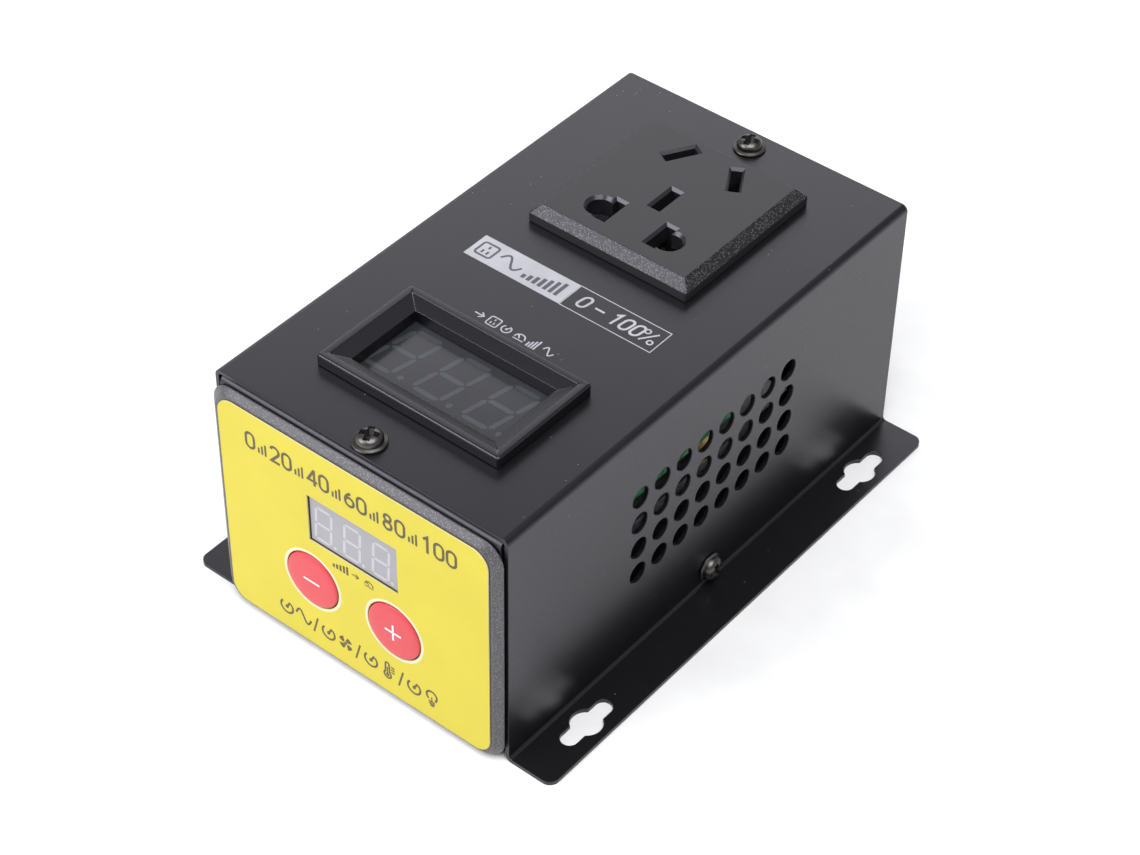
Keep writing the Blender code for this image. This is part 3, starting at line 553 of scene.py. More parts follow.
# ---------------- inner tray
TRAY_END, TRAY_TOP, TRAY_FLOOR = 66.1, 60.8, 1.5  # outer faces of the folded sheet
TAB_FLAT = 8.0  # straight part of the top tabs
EAR_HALF, EAR_TOP = 9.0, 12.0  # side ears that take the cover's side screws
TRAY_WINDOW = (0.0, 31.0, 30.5, 23.5, 2.0)  # middle, half sizes and corner radius
GRILLE_R, INLET_R = 23.0, 4.3
FAN_SCREW_HOLE_R, SCREW_HOLE_R = 1.8, 1.6
FAN_SCREWS = ("left_high", "left_low", "right_high", "right_low")


def tray_outline():
    """The folded sheet seen from the side: two top tabs, front and rear walls, floor."""
    y, top, floor, out, inside = TRAY_END, TRAY_TOP, TRAY_FLOOR, FOLD_OUT, FOLD_OUT - SHEET
    tip = y - out - TAB_FLAT
    front = [(-tip, top)] + arc(-(y - out), top - out, out, 90, 180, 8)
    front += arc(-(y - out), floor + out, out, 180, 270, 8)
    rear = [(-u, v) for u, v in reversed(front)]
    rear_in = [(tip, top - SHEET)] + arc(y - out, top - out, inside, 90, 0, 6)
    rear_in += arc(y - out, floor + out, inside, 0, -90, 6)
    return front + rear + rear_in + [(-u, v) for u, v in reversed(rear_in)]


def screw_hole(u, v, r, axis, start, end):
    return [lift(circle(u, v, r, 20), axis, at) for at in (start, end)]


TRAY_X = span("base_tray")[1][0]
tray = prism("tray_sheet", tray_outline(), "X", -TRAY_X, TRAY_X, TRAY_COAT_PAINTED_LIGHTER)
round_edges(tray, EDGE)
for side in (-1, 1):
    x0, x1 = sorted((side * TRAY_X, side * (TRAY_X - SHEET)))
    join(tray, box("tray_ear", x0, x1, -EAR_HALF, EAR_HALF, TRAY_FLOOR + 0.15, EAR_TOP))
cut(tray, prism("tray_window", rounded_rect(*TRAY_WINDOW), "Y", -68.0, -63.0))
fan_z = middle("fan_rotor")[2]
grille = []
for i in range(-3, 4):
    for j in range(-3, 4):
        u, v = VENT_PITCH * i, VENT_PITCH * j
        if math.hypot(u, v) < GRILLE_R:
            grille.append(countersunk(lambda d: circle(u, fan_z + v, VENT_R + d, 32), "Y", TRAY_END, 1, 3.0))
inlet_x, _, inlet_z = middle("inlet_grommet")
grille.append(countersunk(lambda d: circle(inlet_x, inlet_z, INLET_R + d), "Y", TRAY_END, 1, 3.0))
cut(tray, solid("grille_cutter", grille))
screw_spots = []
for tag in FAN_SCREWS:
    x, _, z = middle("fan_screw_" + tag)
    screw_spots.append(screw_hole(x, z, FAN_SCREW_HOLE_R, "Y", 64.0, 68.0))
for tag in ("front", "rear"):
    x, y, _ = middle("heatsink_screw_" + tag)
    screw_spots.append(screw_hole(x, y, SCREW_HOLE_R, "Z", 0.0, 4.0))
    x, y, _ = middle("cover_screw_" + tag)
    screw_spots.append(screw_hole(x, y, SCREW_HOLE_R, "Z", 58.5, 63.0))
cut(tray, solid("tray_screw_holes", screw_spots))
crisp(tray)
own(tray, CASE, "black_powder_coat", "base_tray")

# ---------------- front panel and its film
PANEL_BACK, PANEL_FRONT = -66.4, span("front_panel")[0][1]
PANEL_FOOT = (-0.15, 30.4, 37.75, 29.8, 5.0)  # middle, half sizes and corner radius at the back
PANEL_FACE = (-0.15, 30.15, 36.1, 28.75, 4.3)  # and at the front, past the sloping border
PANEL_LIP = 0.35  # upright part of the border
POST_X, POST_ROWS, POST_R = 26.5, (13.0, 49.0), 2.6  # posts that carry the control board
BOARD_SIDE = -60.6  # where the posts and the display end, just before that board
THROUGH_PANEL, THROUGH_LABEL = (-70.0, -65.0), (-70.0, -67.0)
LABEL_BACK, LABEL_FRONT = span("front_label")[1][1], span("front_label")[0][1]
LABEL_FORM = (0.0, 30.3, 35.3, 28.1, 4.0)
WINDOW_GAP, BUTTON_HOLE_R = 0.25, 7.1
rings = [
    lift(rounded_rect(*PANEL_FOOT, 14), "Y", PANEL_BACK),
    lift(rounded_rect(*PANEL_FOOT, 14), "Y", PANEL_BACK - PANEL_LIP),
    lift(rounded_rect(*PANEL_FACE, 14), "Y", PANEL_FRONT),
]
panel = solid("panel_moulding", [rings], PANEL)
round_edges(panel, 0.16, 3, 25.0)
window_low, window_high = span("front_display")
WINDOW_X = (window_low[0] - WINDOW_GAP, window_high[0] + WINDOW_GAP)
WINDOW_Z = (window_low[2] - WINDOW_GAP, window_high[2] + WINDOW_GAP)
BUTTONS = {tag: (middle("button_" + tag)[0], middle("button_" + tag)[2]) for tag in ("minus", "plus")}
cut(panel, box("panel_window", *WINDOW_X, *THROUGH_PANEL, *WINDOW_Z))
for x, z in BUTTONS.values():
    cut(panel, prism("panel_button_hole", circle(x, z, BUTTON_HOLE_R, 64), "Y", *THROUGH_PANEL))
posts = [
    [lift(circle(sx * POST_X, z, POST_R, 24), "Y", at) for at in (PANEL_BACK - 0.4, BOARD_SIDE)]
    for sx in (-1, 1) for z in POST_ROWS
]
join(panel, solid("panel_posts", posts))
crisp(panel)
own(panel, CASE, "black_grained_plastic", "front_panel")

label = prism("label_film_sheet", rounded_rect(*LABEL_FORM, 16), "Y", LABEL_BACK, LABEL_FRONT, LABEL)
round_edges(label, 0.05, 2)
cut(label, box("label_window", *WINDOW_X, *THROUGH_LABEL, *WINDOW_Z))
for x, z in BUTTONS.values():
    cut(label, prism("label_button_hole", circle(x, z, BUTTON_HOLE_R, 96), "Y", *THROUGH_LABEL))
label.data.materials.append(LABEL_EDGE)
for face in label.data.polygons:
    if abs(face.normal.y) < 0.5:
        face.material_index = 1
crisp(label)
own(label, CASE, "yellow_label", "front_label")


# ---------------- printed marks
def stroke(points, width, closed=False):
    """Outlines of a line with mitred corners, less its repeated points; a closed line comes as two halves."""
    points = [p for i, p in enumerate(points) if not (i or closed) or math.dist(p, points[i - 1]) > 1e-4]
    count = len(points)

    def normal(a, b):
        dx, dy = b[0] - a[0], b[1] - a[1]
        length = math.hypot(dx, dy)
        return -dy / length, dx / length

    sides = []
    for i, (x, y) in enumerate(points):
        before = normal(points[i - 1], points[i]) if closed or i else None
        after = normal(points[i], points[(i + 1) % count]) if closed or i < count - 1 else None
        before, after = before or after, after or before
        mx, my = before[0] + after[0], before[1] + after[1]
        reach = width / (mx * mx + my * my)
        sides.append(((x + mx * reach, y + my * reach), (x - mx * reach, y - my * reach)))
    half = count // 2
    runs = (sides[:half + 1], sides[half:] + sides[:1]) if closed else (sides,)
    return [[a for a, _ in run] + [b for _, b in reversed(run)] for run in runs]


PEN, BOLD = 0.11, 0.145  # widths of a line in icons and in digits, for a height of 1
ADVANCE, SIDE = 0.72, 0.12  # a digit's step, and the gap in it after the digit


def placed(shapes, x, y, size, lean=0.0):
    """Shapes drawn in a unit-high box, put at x, y at this size."""
    return [[(x + size * (u + lean * v), y + size * v) for u, v in shape] for shape in shapes]


def level_bars(count, low, high, width):
    """Bars that rise in even steps from low to high."""
    step = width / count
    out = []
    for i in range(count):
        top = low + (high - low) * (i + 1) / count
        out.append([(step * i, 0.0), (step * (i + 0.62), 0.0), (step * (i + 0.62), top), (step * i, top)])
    return out


def sine_wave(width=0.9):
    line = [(width * k / 24, 0.5 + 0.34 * math.sin(math.tau * k / 24)) for k in range(25)]
    return stroke(line, PEN)


def knob():
    ring = stroke(arc(0.44, 0.46, 0.36, -230, 50, 26), PEN)
    return ring + stroke([(0.44, 0.46), (0.64, 0.80)], PEN) + [circle(0.44, 0.46, 0.10, 14)]


def blade_wheel():
    out = [circle(0.45, 0.5, 0.09, 12)]
    for k in range(4):
        a = 90 * k + 20
        loop = arc(0.0, 0.0, 0.40, 0, 52, 8) + arc(0.0, 0.0, 0.13, 74, 10, 4)
        c, s = math.cos(math.radians(a)), math.sin(math.radians(a))
        out.append([(0.45 + u * c - v * s, 0.5 + u * s + v * c) for u, v in loop])
    return out


def thermometer():
    tube = stroke(arc(0.4, 0.22, 0.2, 130, 410, 16) + arc(0.4, 0.88, 0.1, 0, 180, 8), PEN * 0.85, True)
    ticks = [s for v in (0.5, 0.66, 0.82) for s in stroke([(0.62, v), (0.82, v)], PEN * 0.7)]
    thread = [(0.365, 0.22), (0.435, 0.22), (0.435, 0.7), (0.365, 0.7)]
    return tube + [circle(0.4, 0.22, 0.1, 14), thread] + ticks


def lamp():
    glass = stroke(arc(0.45, 0.62, 0.29, -52, 232, 22), PEN)
    base = [s for v in (0.26, 0.13) for s in stroke([(0.28, v), (0.62, v)], PEN * 0.8)]
    rays = stroke([(0.45, 0.28), (0.45, 0.55)], PEN * 0.6)
    return glass + base + rays + stroke([(0.36, 0.02), (0.54, 0.02)], PEN * 0.8)


def outlet_mark():
    frame_line = stroke(rounded_rect(0.5, 0.5, 0.44, 0.44, 0.14, 5), PEN, True)
    pins = [stroke([(0.36, 0.22), (0.36, 0.44)], PEN), stroke([(0.64, 0.22), (0.64, 0.44)], PEN)]
    return frame_line + pins[0] + pins[1] + stroke([(0.5, 0.6), (0.5, 0.78)], PEN)


def arrow():
    return stroke([(0.05, 0.5), (0.8, 0.5)], PEN) + stroke([(0.52, 0.78), (0.84, 0.5), (0.52, 0.22)], PEN)


def gauge():
    dial = stroke(arc(0.48, 0.3, 0.42, 0, 180, 20), PEN)
    return dial + stroke([(0.48, 0.3), (0.26, 0.58)], PEN) + stroke([(0.04, 0.14), (0.92, 0.14)], PEN * 0.8)


# the lines that each digit is drawn with, and whether a line is closed
DIGITS = {
    "0": ((rounded_rect(0.3, 0.5, 0.25, 0.45, 0.25, 7), True),),
    "1": (([(0.12, 0.76), (0.36, 0.96), (0.36, 0.0)], False),),
    "2": ((arc(0.3, 0.7, 0.25, 165, -35, 14) + [(0.07, 0.05), (0.58, 0.05)], False),),
    "4": (([(0.45, 0.0), (0.45, 0.98)], False), ([(0.43, 0.92), (0.06, 0.27), (0.62, 0.27)], False)),
    "6": ((circle(0.3, 0.3, 0.25, 22), True), (arc(0.58, 0.34, 0.53, 178, 112, 8), False)),
    "8": ((circle(0.3, 0.27, 0.225, 20), True), (circle(0.3, 0.72, 0.19, 20), True)),
}


def number(text, x, y, size, lean=0.0):
    """The number, centred on x, standing on y."""
    start = x - size * (ADVANCE * len(text) - SIDE) / 2
    out = []
    for i, digit in enumerate(text):
        drawn = [s for points, closed in DIGITS[digit] for s in stroke(points, BOLD, closed)]
        out += placed(drawn, start + size * ADVANCE * i, y, size, lean)
    return out


def print_on(name, shapes, plane, face, look, slot, body=CASE, proud=0.03):
    """Ink on a face: plane Y is the front (ink stands towards -Y), plane Z the top."""
    out = -1 if plane == "Y" else 1
    shells = []
    for i, shape in enumerate(shapes):
        top = face + out * (proud + 0.0015 * (i % 9))  # crossing strokes stay off one plane
        shells.append([lift(shape, plane, face - out * 0.02), lift(shape, plane, top)])
    return own(solid(name, shells, look), body, slot)


SCALE_START, SCALE_Z, SCALE_H, SCALE_GAP = -27.9, 49.0, 4.4, 4.12
SCALE_RISE = 0.0165  # the scale is printed a little out of level
scale = []
left = SCALE_START
for text in ("0", "20", "40", "60", "80", "100"):
    wide = SCALE_H * (ADVANCE * len(text) - SIDE)
    scale += number(text, left + wide / 2, SCALE_Z, SCALE_H)
    left += wide
    if text != "100":
        for k in range(3):
            u, foot, head = left + 0.75 + 0.92 * k, SCALE_Z + 0.2, SCALE_Z + 1.6 + 0.8 * k
            scale.append([(u, foot), (u + 0.5, foot), (u + 0.5, head), (u, head)])
    left += SCALE_GAP
scale = [[(u, v + SCALE_RISE * (u + 28.0)) for u, v in shape] for shape in scale]
print_on("label_scale", scale, "Y", LABEL_FRONT, PRINT_DARK, "yellow_label")

USES_START, USES_PITCH, USES_Z, ICON = -21.8, 11.7, 6.2, 4.7
uses = []
for i, icon in enumerate((sine_wave, blade_wheel, thermometer, lamp)):
    x = USES_START + USES_PITCH * i
    uses += placed(knob(), x, USES_Z, ICON)
    uses += placed(icon(), x + ICON, USES_Z, ICON)
    if icon is not lamp:
        uses += stroke([(x + 9.6, USES_Z - 0.1), (x + 10.9, USES_Z + 4.5)], 0.45)
print_on("label_uses", uses, "Y", LABEL_FRONT, PRINT_DARK, "yellow_label")

LEGEND_Z = 29.5
legend = placed(level_bars(5, 0.25, 1.0, 2.0), -5.6, LEGEND_Z, 2.3)
legend += placed(arrow(), -0.5, LEGEND_Z, 2.3) + placed(gauge(), 2.9, LEGEND_Z, 2.6)
print_on("label_level", legend, "Y", LABEL_FRONT, PRINT_DARK, "yellow_label")

RING_R, RING_HALF, RING_RISE = 7.50, 0.31, 0.08  # a pale raised ring round each punched hole
for tag, (x, z) in BUTTONS.items():
    rim = []
    for k in range(13):
        a = math.pi * k / 12
        outline = circle(x, z, RING_R - RING_HALF * math.cos(a), 96)
        rim.append(lift(outline, "Y", LABEL_FRONT + 0.02 - RING_RISE * math.sin(a)))
    own(loft("button_ring_" + tag, rim, LABEL_RING), CASE, "yellow_label")

# ---------------- front display
DISPLAY_GROW = 0.15  # the block comes closer to its window than its CAD solid does
x0, display_front, z0 = window_low
x1, _, z1 = window_high
x0, x1, z0, z1 = x0 - DISPLAY_GROW, x1 + DISPLAY_GROW, z0 - DISPLAY_GROW, z1 + DISPLAY_GROW
display = box("display_block", x0, x1, display_front, BOARD_SIDE, z0, z1, DISPLAY_FACE)
round_edges(display, 0.08, 2)
own(display, CASE, "grey_display", "front_display")
mid_x, mid_z = (x0 + x1) / 2, (z0 + z1) / 2
edge_line = stroke(rect(mid_x, mid_z, (x1 - x0) / 2 - 0.1, (z1 - z0) / 2 - 0.1), 0.2, True)
print_on("display_border", edge_line, "Y", display_front, DISPLAY_RIM, "grey_display", proud=0.04)


def segments(width, height, thick, lean, gap=0.17):
    """Outlines of the seven bars of a digit centred on 0, 0; width and height are between bar centres."""
    w, h, t = width / 2, height / 2, thick / 2

    def bar(a, b):
        dx, dy = b[0] - a[0], b[1] - a[1]
        length = math.hypot(dx, dy)
        ux, uy = dx / length, dy / length
        a = (a[0] + ux * gap, a[1] + uy * gap)
        b = (b[0] - ux * gap, b[1] - uy * gap)
        nx, ny = -uy * t, ux * t
        return [
            a, (a[0] + ux * t + nx, a[1] + uy * t + ny), (b[0] - ux * t + nx, b[1] - uy * t + ny),
            b, (b[0] - ux * t - nx, b[1] - uy * t - ny), (a[0] + ux * t - nx, a[1] + uy * t - ny),
        ]

    corners = [(-w, h), (w, h), (-w, 0.0), (w, 0.0), (-w, -h), (w, -h)]
    runs = ((0, 1), (2, 3), (4, 5), (0, 2), (1, 3), (2, 4), (3, 5))
    return [[(u + lean * v, v) for u, v in bar(corners[a], corners[b])] for a, b in runs]


DISPLAY_PITCH, METER_PITCH = 7.62, 12.75
front_digits = []
for i in range(3):
    x, z = mid_x - 0.45 + DISPLAY_PITCH * (i - 1), mid_z - 0.55
    front_digits += placed(segments(4.1, 8.65, 0.72, 0.06), x, z, 1.0)
    front_digits.append(circle(x + 2.85, z - 4.3, 0.46, 20))
print_on("display_digits", front_digits, "Y", display_front, DISPLAY_SEGMENT, "grey_display", proud=0.025)

# ---------------- push buttons
CAP_R, CAP_RIM_R, STEM_R = 6.85, 7.8, 1.2
STEM_END, CAP_BACK, CAP_STEP = -62.4, -65.4, -66.1
CAP_CROWN = 0.05  # how far the middle of the face stands past its mean place
SIGN_REACH, SIGN_WIDTH = 2.15, 0.46


def cap_profile(front):
    """Stem, hidden rim, side wall, rounded edge and crowned face, whose mean place is front."""
    points = [(STEM_R, STEM_END), (STEM_R, CAP_BACK), (CAP_RIM_R, CAP_BACK), (CAP_RIM_R, CAP_STEP)]
    points += [(CAP_R, CAP_STEP), (CAP_R, front + 0.55)]
    for k in range(1, 6):
        a = math.radians(15 * k)
        points.append((CAP_R - 0.5 * (1 - math.cos(a)), front + 0.55 - 0.47 * math.sin(a)))
    for k in range(1, 8):
        out = 1 - k / 8
        points.append((6.2 * out, front + 0.06 - 0.11 * (1 - out ** 2)))
    return points + [(0.0, front - CAP_CROWN)]


for tag, (x, z) in BUTTONS.items():
    front = span("button_" + tag)[0][1] + CAP_CROWN
    cap = lathe("cap_" + tag, cap_profile(front), "Y", x, z, 96, BUTTON_RED)
    crisp(cap)
    own(cap, "button_" + tag, "red_button", "button_" + tag)
    level_z = z - 0.15
    arms = stroke([(x - SIGN_REACH, level_z), (x + SIGN_REACH, level_z)], SIGN_WIDTH)
    if tag == "plus":
        arms += stroke([(x, level_z - SIGN_REACH), (x, level_z + SIGN_REACH)], SIGN_WIDTH)
    print_on("cap_sign_" + tag, arms, "Y", front - 0.03, BUTTON_MARK, "red_button", "button_" + tag, 0.04)

# ---------------- voltmeter
RIM_X, RIM_Y, RIM_Z = 23.6, 14.15, span("voltmeter_housing")[1][2]
RIM_FOOT, RIM_ROUND = TOP_Z + SEAT_GAP, 0.55
NECK_X, NECK_Y, NECK_Z = 22.1, 12.7, 46.0  # the box below the lid and its lower end
WELL_X, WELL_Y, WELL_Z = 18.4, 9.55, 63.2  # the foot of the well's slope
HOLLOW_X, HOLLOW_Y = 21.0, 11.6
PANE_HALF, PANE_BACK = (20.7, 11.3), 59.7
window_z = span("voltmeter_window")[1][2]


def meter_ring(hx, hy, r, z):
    return lift(rounded_rect(meter_x, meter_y, hx, hy, r, 6), "Z", z)


def bezel_rings():
    """Up the outside, over the rounded rim, and down the sloping well and the hollow inside."""
    out = [meter_ring(NECK_X, NECK_Y, 0.3, NECK_Z), meter_ring(NECK_X, NECK_Y, 0.3, RIM_FOOT)]
    out.append(meter_ring(RIM_X - 0.1, RIM_Y - 0.1, 0.5, RIM_FOOT))
    out += [meter_ring(RIM_X, RIM_Y, 0.6, z) for z in (RIM_FOOT + 0.1, RIM_Z - RIM_ROUND)]
    for k in range(1, 7):
        a = math.radians(15 * k)
        inset, rise = RIM_ROUND * (1 - math.cos(a)), RIM_ROUND * math.sin(a)
        out.append(meter_ring(RIM_X - inset, RIM_Y - inset, 0.6 - inset * 0.4, RIM_Z - RIM_ROUND + rise))
    for in_x, in_y, r, drop in ((1.75, 1.75, 0.5, 0.0), (1.95, 1.85, 0.45, 0.08), (2.1, 1.95, 0.4, 0.28)):
        out.append(meter_ring(RIM_X - in_x, RIM_Y - in_y, r, RIM_Z - drop))
    for grow, r, rise in ((0.15, 0.25, 0.28), (0.02, 0.22, 0.18), (0.0, 0.2, 0.0)):
        out.append(meter_ring(WELL_X + grow, WELL_Y + grow, r, WELL_Z + rise))
    out.append(meter_ring(WELL_X, WELL_Y, 0.2, window_z + 0.3))
    out += [meter_ring(HOLLOW_X, HOLLOW_Y, 0.2, z) for z in (window_z + 0.3, NECK_Z)]
    return out


housing = loft("meter_bezel", bezel_rings(), METER_CASE, 28.0)
crisp(housing)
own(housing, CASE, "black_plastic", "voltmeter_housing")

window = box_at("meter_pane", meter_x, meter_y, PANE_HALF, PANE_BACK, window_z, WINDOW_GLASS)
round_edges(window, 0.1)
own(window, CASE, "smoked_window", "voltmeter_window")
meter_digits = []
for i in range(3):
    x, y = meter_x - 1.35 + METER_PITCH * (i - 1), meter_y + 1.05
    meter_digits += placed(segments(6.9, 13.2, 1.15, 0.187, 0.25), x, y, 1.0)
    meter_digits.append(circle(x + 4.7, y - 6.3, 0.72, 24))
print_on("meter_digits", meter_digits, "Z", window_z, METER_SEGMENT, "smoked_window", proud=0.02)

# ---------------- outlet
FACE_Z = span("socket_plate")[1][2]
PLATE_HX, PLATE_HY, PLATE_BEVEL = 20.85, 21.25, 2.1
FACE_HX, FACE_HY = 18.8, 19.2
OUTLET_SLOTS = (
    (-7.25, 13.45, -30.0), (7.25, 13.45, 30.0), (0.0, -1.25, 0.0), (-6.65, -11.45, 0.0), (6.65, -11.45, 0.0),
)  # from the plate's middle: x, y and turn in degrees
SLOT_HALF, FLARE, BELOW = (1.15, 3.7), 0.6, 60.0  # a slot, its sloping mouth, where the cutters end
PIN_HOLE_X, PIN_HOLE_Y, PIN_HOLE_R = 9.1, -11.75, 2.85
rings = [
    lift(rounded_rect(outlet_x, outlet_y, PLATE_HX, PLATE_HY, 0.5, 4), "Z", TOP_Z + SEAT_GAP),
    lift(rounded_rect(outlet_x, outlet_y, PLATE_HX, PLATE_HY, 0.5, 4), "Z", FACE_Z - PLATE_BEVEL),
    lift(rounded_rect(outlet_x, outlet_y, FACE_HX, FACE_HY, 0.3, 4), "Z", FACE_Z),
]
plate = solid("outlet_plate", [rings], OUTLET_FACE)
round_edges(plate, 0.12, 2, 25.0)
cutters = []
for dx, dy, angle in OUTLET_SLOTS:
    cx, cy = outlet_x + dx, outlet_y + dy
    mouth = []
    for flare, z in ((2 * FLARE, FACE_Z + FLARE), (FLARE, FACE_Z), (0.0, FACE_Z - FLARE), (0.0, BELOW)):
        mouth.append(lift(turned(rect(cx, cy, *[h + flare for h in SLOT_HALF]), cx, cy, angle), "Z", z))
    cutters.append(mouth)
cut(plate, solid("slot_cutter", cutters))
for side in (-1, 1):
    mouth = [(1.3, FACE_Z + 0.6), (0.7, FACE_Z), (0.0, FACE_Z - 0.7), (0.0, BELOW)]
    mouth = [(PIN_HOLE_R + flare, z) for flare, z in mouth]
    cut(plate, lathe("pin_cutter", mouth, "Z", outlet_x + side * PIN_HOLE_X, outlet_y + PIN_HOLE_Y, 48))
plate.data.materials.append(OUTLET_EDGE)
plate.data.materials.append(OUTLET_BODY)
for face in plate.data.polygons:
    cx, cy, cz = [c / MM for c in face.center]
    outside = abs(cx - outlet_x) > FACE_HX - 0.1 or abs(cy - CY - outlet_y) > FACE_HY - 0.1
    if outside and cz < FACE_Z - 0.02:
        face.material_index = 1 if face.normal.z > 0.3 else 0
    elif cz < FACE_Z - 0.02:
        face.material_index = 2
crisp(plate)
own(plate, CASE, "black_grained_plastic", "socket_plate")


# ---------------- screws
SHANK_R = 1.3


def pan_screw(
    name, node, axis, seat, out, head_r, head_h, washer_r, turn, look=SCREW, slot="dark_nickel", length=6.0,
):
    """A pan head with a cross recess on a shank, and a dished washer if that is wider than the head."""
    low, high = span(node)
    cu, cv = {"Z": (0, 1), "X": (1, 2), "Y": (0, 2)}[axis]
    cu, cv = (low[cu] + high[cu]) / 2, (low[cv] + high[cv]) / 2
    washer = 0.55 if washer_r > head_r else 0.0
    steps = [(SHANK_R, -length), (SHANK_R, 0.0)]
    if washer:
        steps += [(washer_r - 0.12, 0.0), (washer_r, 0.12), (washer_r, 0.26), (washer_r - 0.12, 0.42)]
        steps += [(washer_r - 0.45, washer), (head_r + 0.22, washer - 0.06)]
    steps += [(head_r + 0.02, washer), (head_r, washer + 0.2)]
    for k in range(1, 10):
        a = math.radians(10 * k)
        steps.append((head_r * math.cos(a) ** 0.62, washer + 0.2 + (head_h - 0.2) * math.sin(a)))
    steps.append((0.0, washer + head_h))
    made = lathe(name, [(r, seat + out * h) for r, h in steps], axis, cu, cv, 56, look)

    def cross(arm, half):
        spots = [
            (half, arm), (-half, arm), (-half, half), (-arm, half), (-arm, -half), (-half, -half),
            (-half, -arm), (half, -arm), (half, -half), (arm, -half), (arm, half), (half, half),
        ]
        return turned([(cu + u, cv + v) for u, v in spots], cu, cv, turn)

    top = washer + head_h
    levels = ((0.72, 0.25, top + 0.3), (0.69, 0.23, top - 0.75), (0.36, 0.12, top - head_h * 0.85))
    rings = [lift(cross(head_r * arm, head_r * half), axis, seat + out * h) for arm, half, h in levels]
    # the cut passes the near-black recess material to the recess walls: painted shade
    cut(made, solid(name + "_recess", [rings], SCREW_RECESS_PAINTED_SHADE))
    soften(made.data, 24.0)
    return own(made, CASE, slot, node)


lid_seat, wall_seat = TOP_Z + SEAT_GAP, WALL_X + SEAT_GAP
rear_seat, base_seat = TRAY_END + SEAT_GAP, TRAY_FLOOR - SEAT_GAP
pan_screw("lid_screw_front", "cover_screw_front", "Z", lid_seat, 1, 2.9, 1.85, 3.65, 24.0)
pan_screw("lid_screw_rear", "cover_screw_rear", "Z", lid_seat, 1, 2.85, 1.85, 3.6, 10.0)
for tag, out, turn in (("left", -1, 33.0), ("right", 1, 12.0)):
    pan_screw("side_screw_" + tag, "cover_screw_" + tag, "X", out * wall_seat, out, 2.7, 1.75, 3.3, turn)
for i, tag in enumerate(FAN_SCREWS):
    turn = 17.0 * i
    pan_screw("guard_screw_" + tag, "fan_screw_" + tag, "Y", rear_seat, 1, 2.8, 1.7, 2.8, turn, length=8.0)
for i, tag in enumerate(("front", "rear")):
    name, node, turn = "base_screw_" + tag, "heatsink_screw_" + tag, 20.0 + 31 * i
    pan_screw(name, node, "Z", base_seat, -1, 2.6, 1.1, 2.6, turn, STEEL, "steel", 8.0)

# ---------------- lead inlet
BORE_R, NECK_R, LIP_R = 3.1, 4.0, 5.4
bush = [(BORE_R, 64.1), (BORE_R, 66.9)]
for k in range(1, 12):
    a = math.radians(15 * k)
    bush.append((BORE_R + 1.1 * (1 - math.cos(a)), 66.85 + 0.45 * math.sin(a)))
bush += [(LIP_R - 0.05, 66.85), (LIP_R, 66.25), (NECK_R, 66.25)]
bush += [(NECK_R, 64.95), (LIP_R, 64.95), (LIP_R, 64.1)]
grommet = loft("inlet_bush", [lift(circle(inlet_x, inlet_z, r, 48), "Y", y) for r, y in bush], RUBBER, 35.0)
crisp(grommet)
own(grommet, CASE, "black_rubber", "inlet_grommet")

# ---------------- marks on the lid
INK = 0.02  # thickness of the print on the lid
BADGE_Y, BADGE_FOOT, BADGE_H, BADGE_LEAN = -3.1, -5.0, 3.9, 0.16
CAPTION_START, CAPTION_PITCH, CAPTION_Y, CAPTION_H = -9.9, 3.6, -21.1, 3.0


def print_lid(name, shapes, look=PRINT_WHITE, face=TOP_Z):
    print_on(name, shapes, "Z", face, look, "black_powder_coat", proud=INK)


print_lid("badge_block", [rect(-11.2, BADGE_Y, 12.8, 3.7)])
print_lid("badge_frame", stroke(rect(13.35, BADGE_Y, 11.7, 3.65), 0.22, True))
dark = placed(outlet_mark(), -22.9, -5.4, 4.6) + placed(sine_wave(1.2), -17.0, -5.5, 4.8)
dark += placed(level_bars(7, 0.16, 1.0, 2.3), -10.0, -5.3, 4.4)
print_lid("badge_block_marks", dark, BADGE_INK, TOP_Z + INK)
light = number("0", 5.1, BADGE_FOOT, BADGE_H, BADGE_LEAN)
light += stroke([(8.2, BADGE_Y), (10.6, BADGE_Y)], 0.5)
light += number("100", 16.0, BADGE_FOOT, BADGE_H, BADGE_LEAN)
light += stroke([(20.7, BADGE_FOOT), (23.4, -1.3)], 0.42)
for x, y in ((20.9, -1.9), (23.2, -4.4)):
    light += stroke(circle(x, y, 0.62, 14), 0.36, True)
print_lid("badge_frame_marks", light)
caption = []
for i, icon in enumerate((arrow, outlet_mark, knob, gauge, lambda: level_bars(4, 0.3, 1.0, 0.85), sine_wave)):
    caption += placed(icon(), CAPTION_START + CAPTION_PITCH * i, CAPTION_Y, CAPTION_H)
print_lid("meter_caption", caption)

# ---------------- inside
(x0, y0, _), (x1, y1, board_top) = span("power_board")
runs = [rect(x, (y0 + y1) / 2, 0.35, (y1 - y0) / 2 - 1.5) for x in (x1 - 1.1, x0 + 1.1)]
print_on("board_tinned_runs", runs, "Z", board_top, TINNED, "steel", proud=0.25)

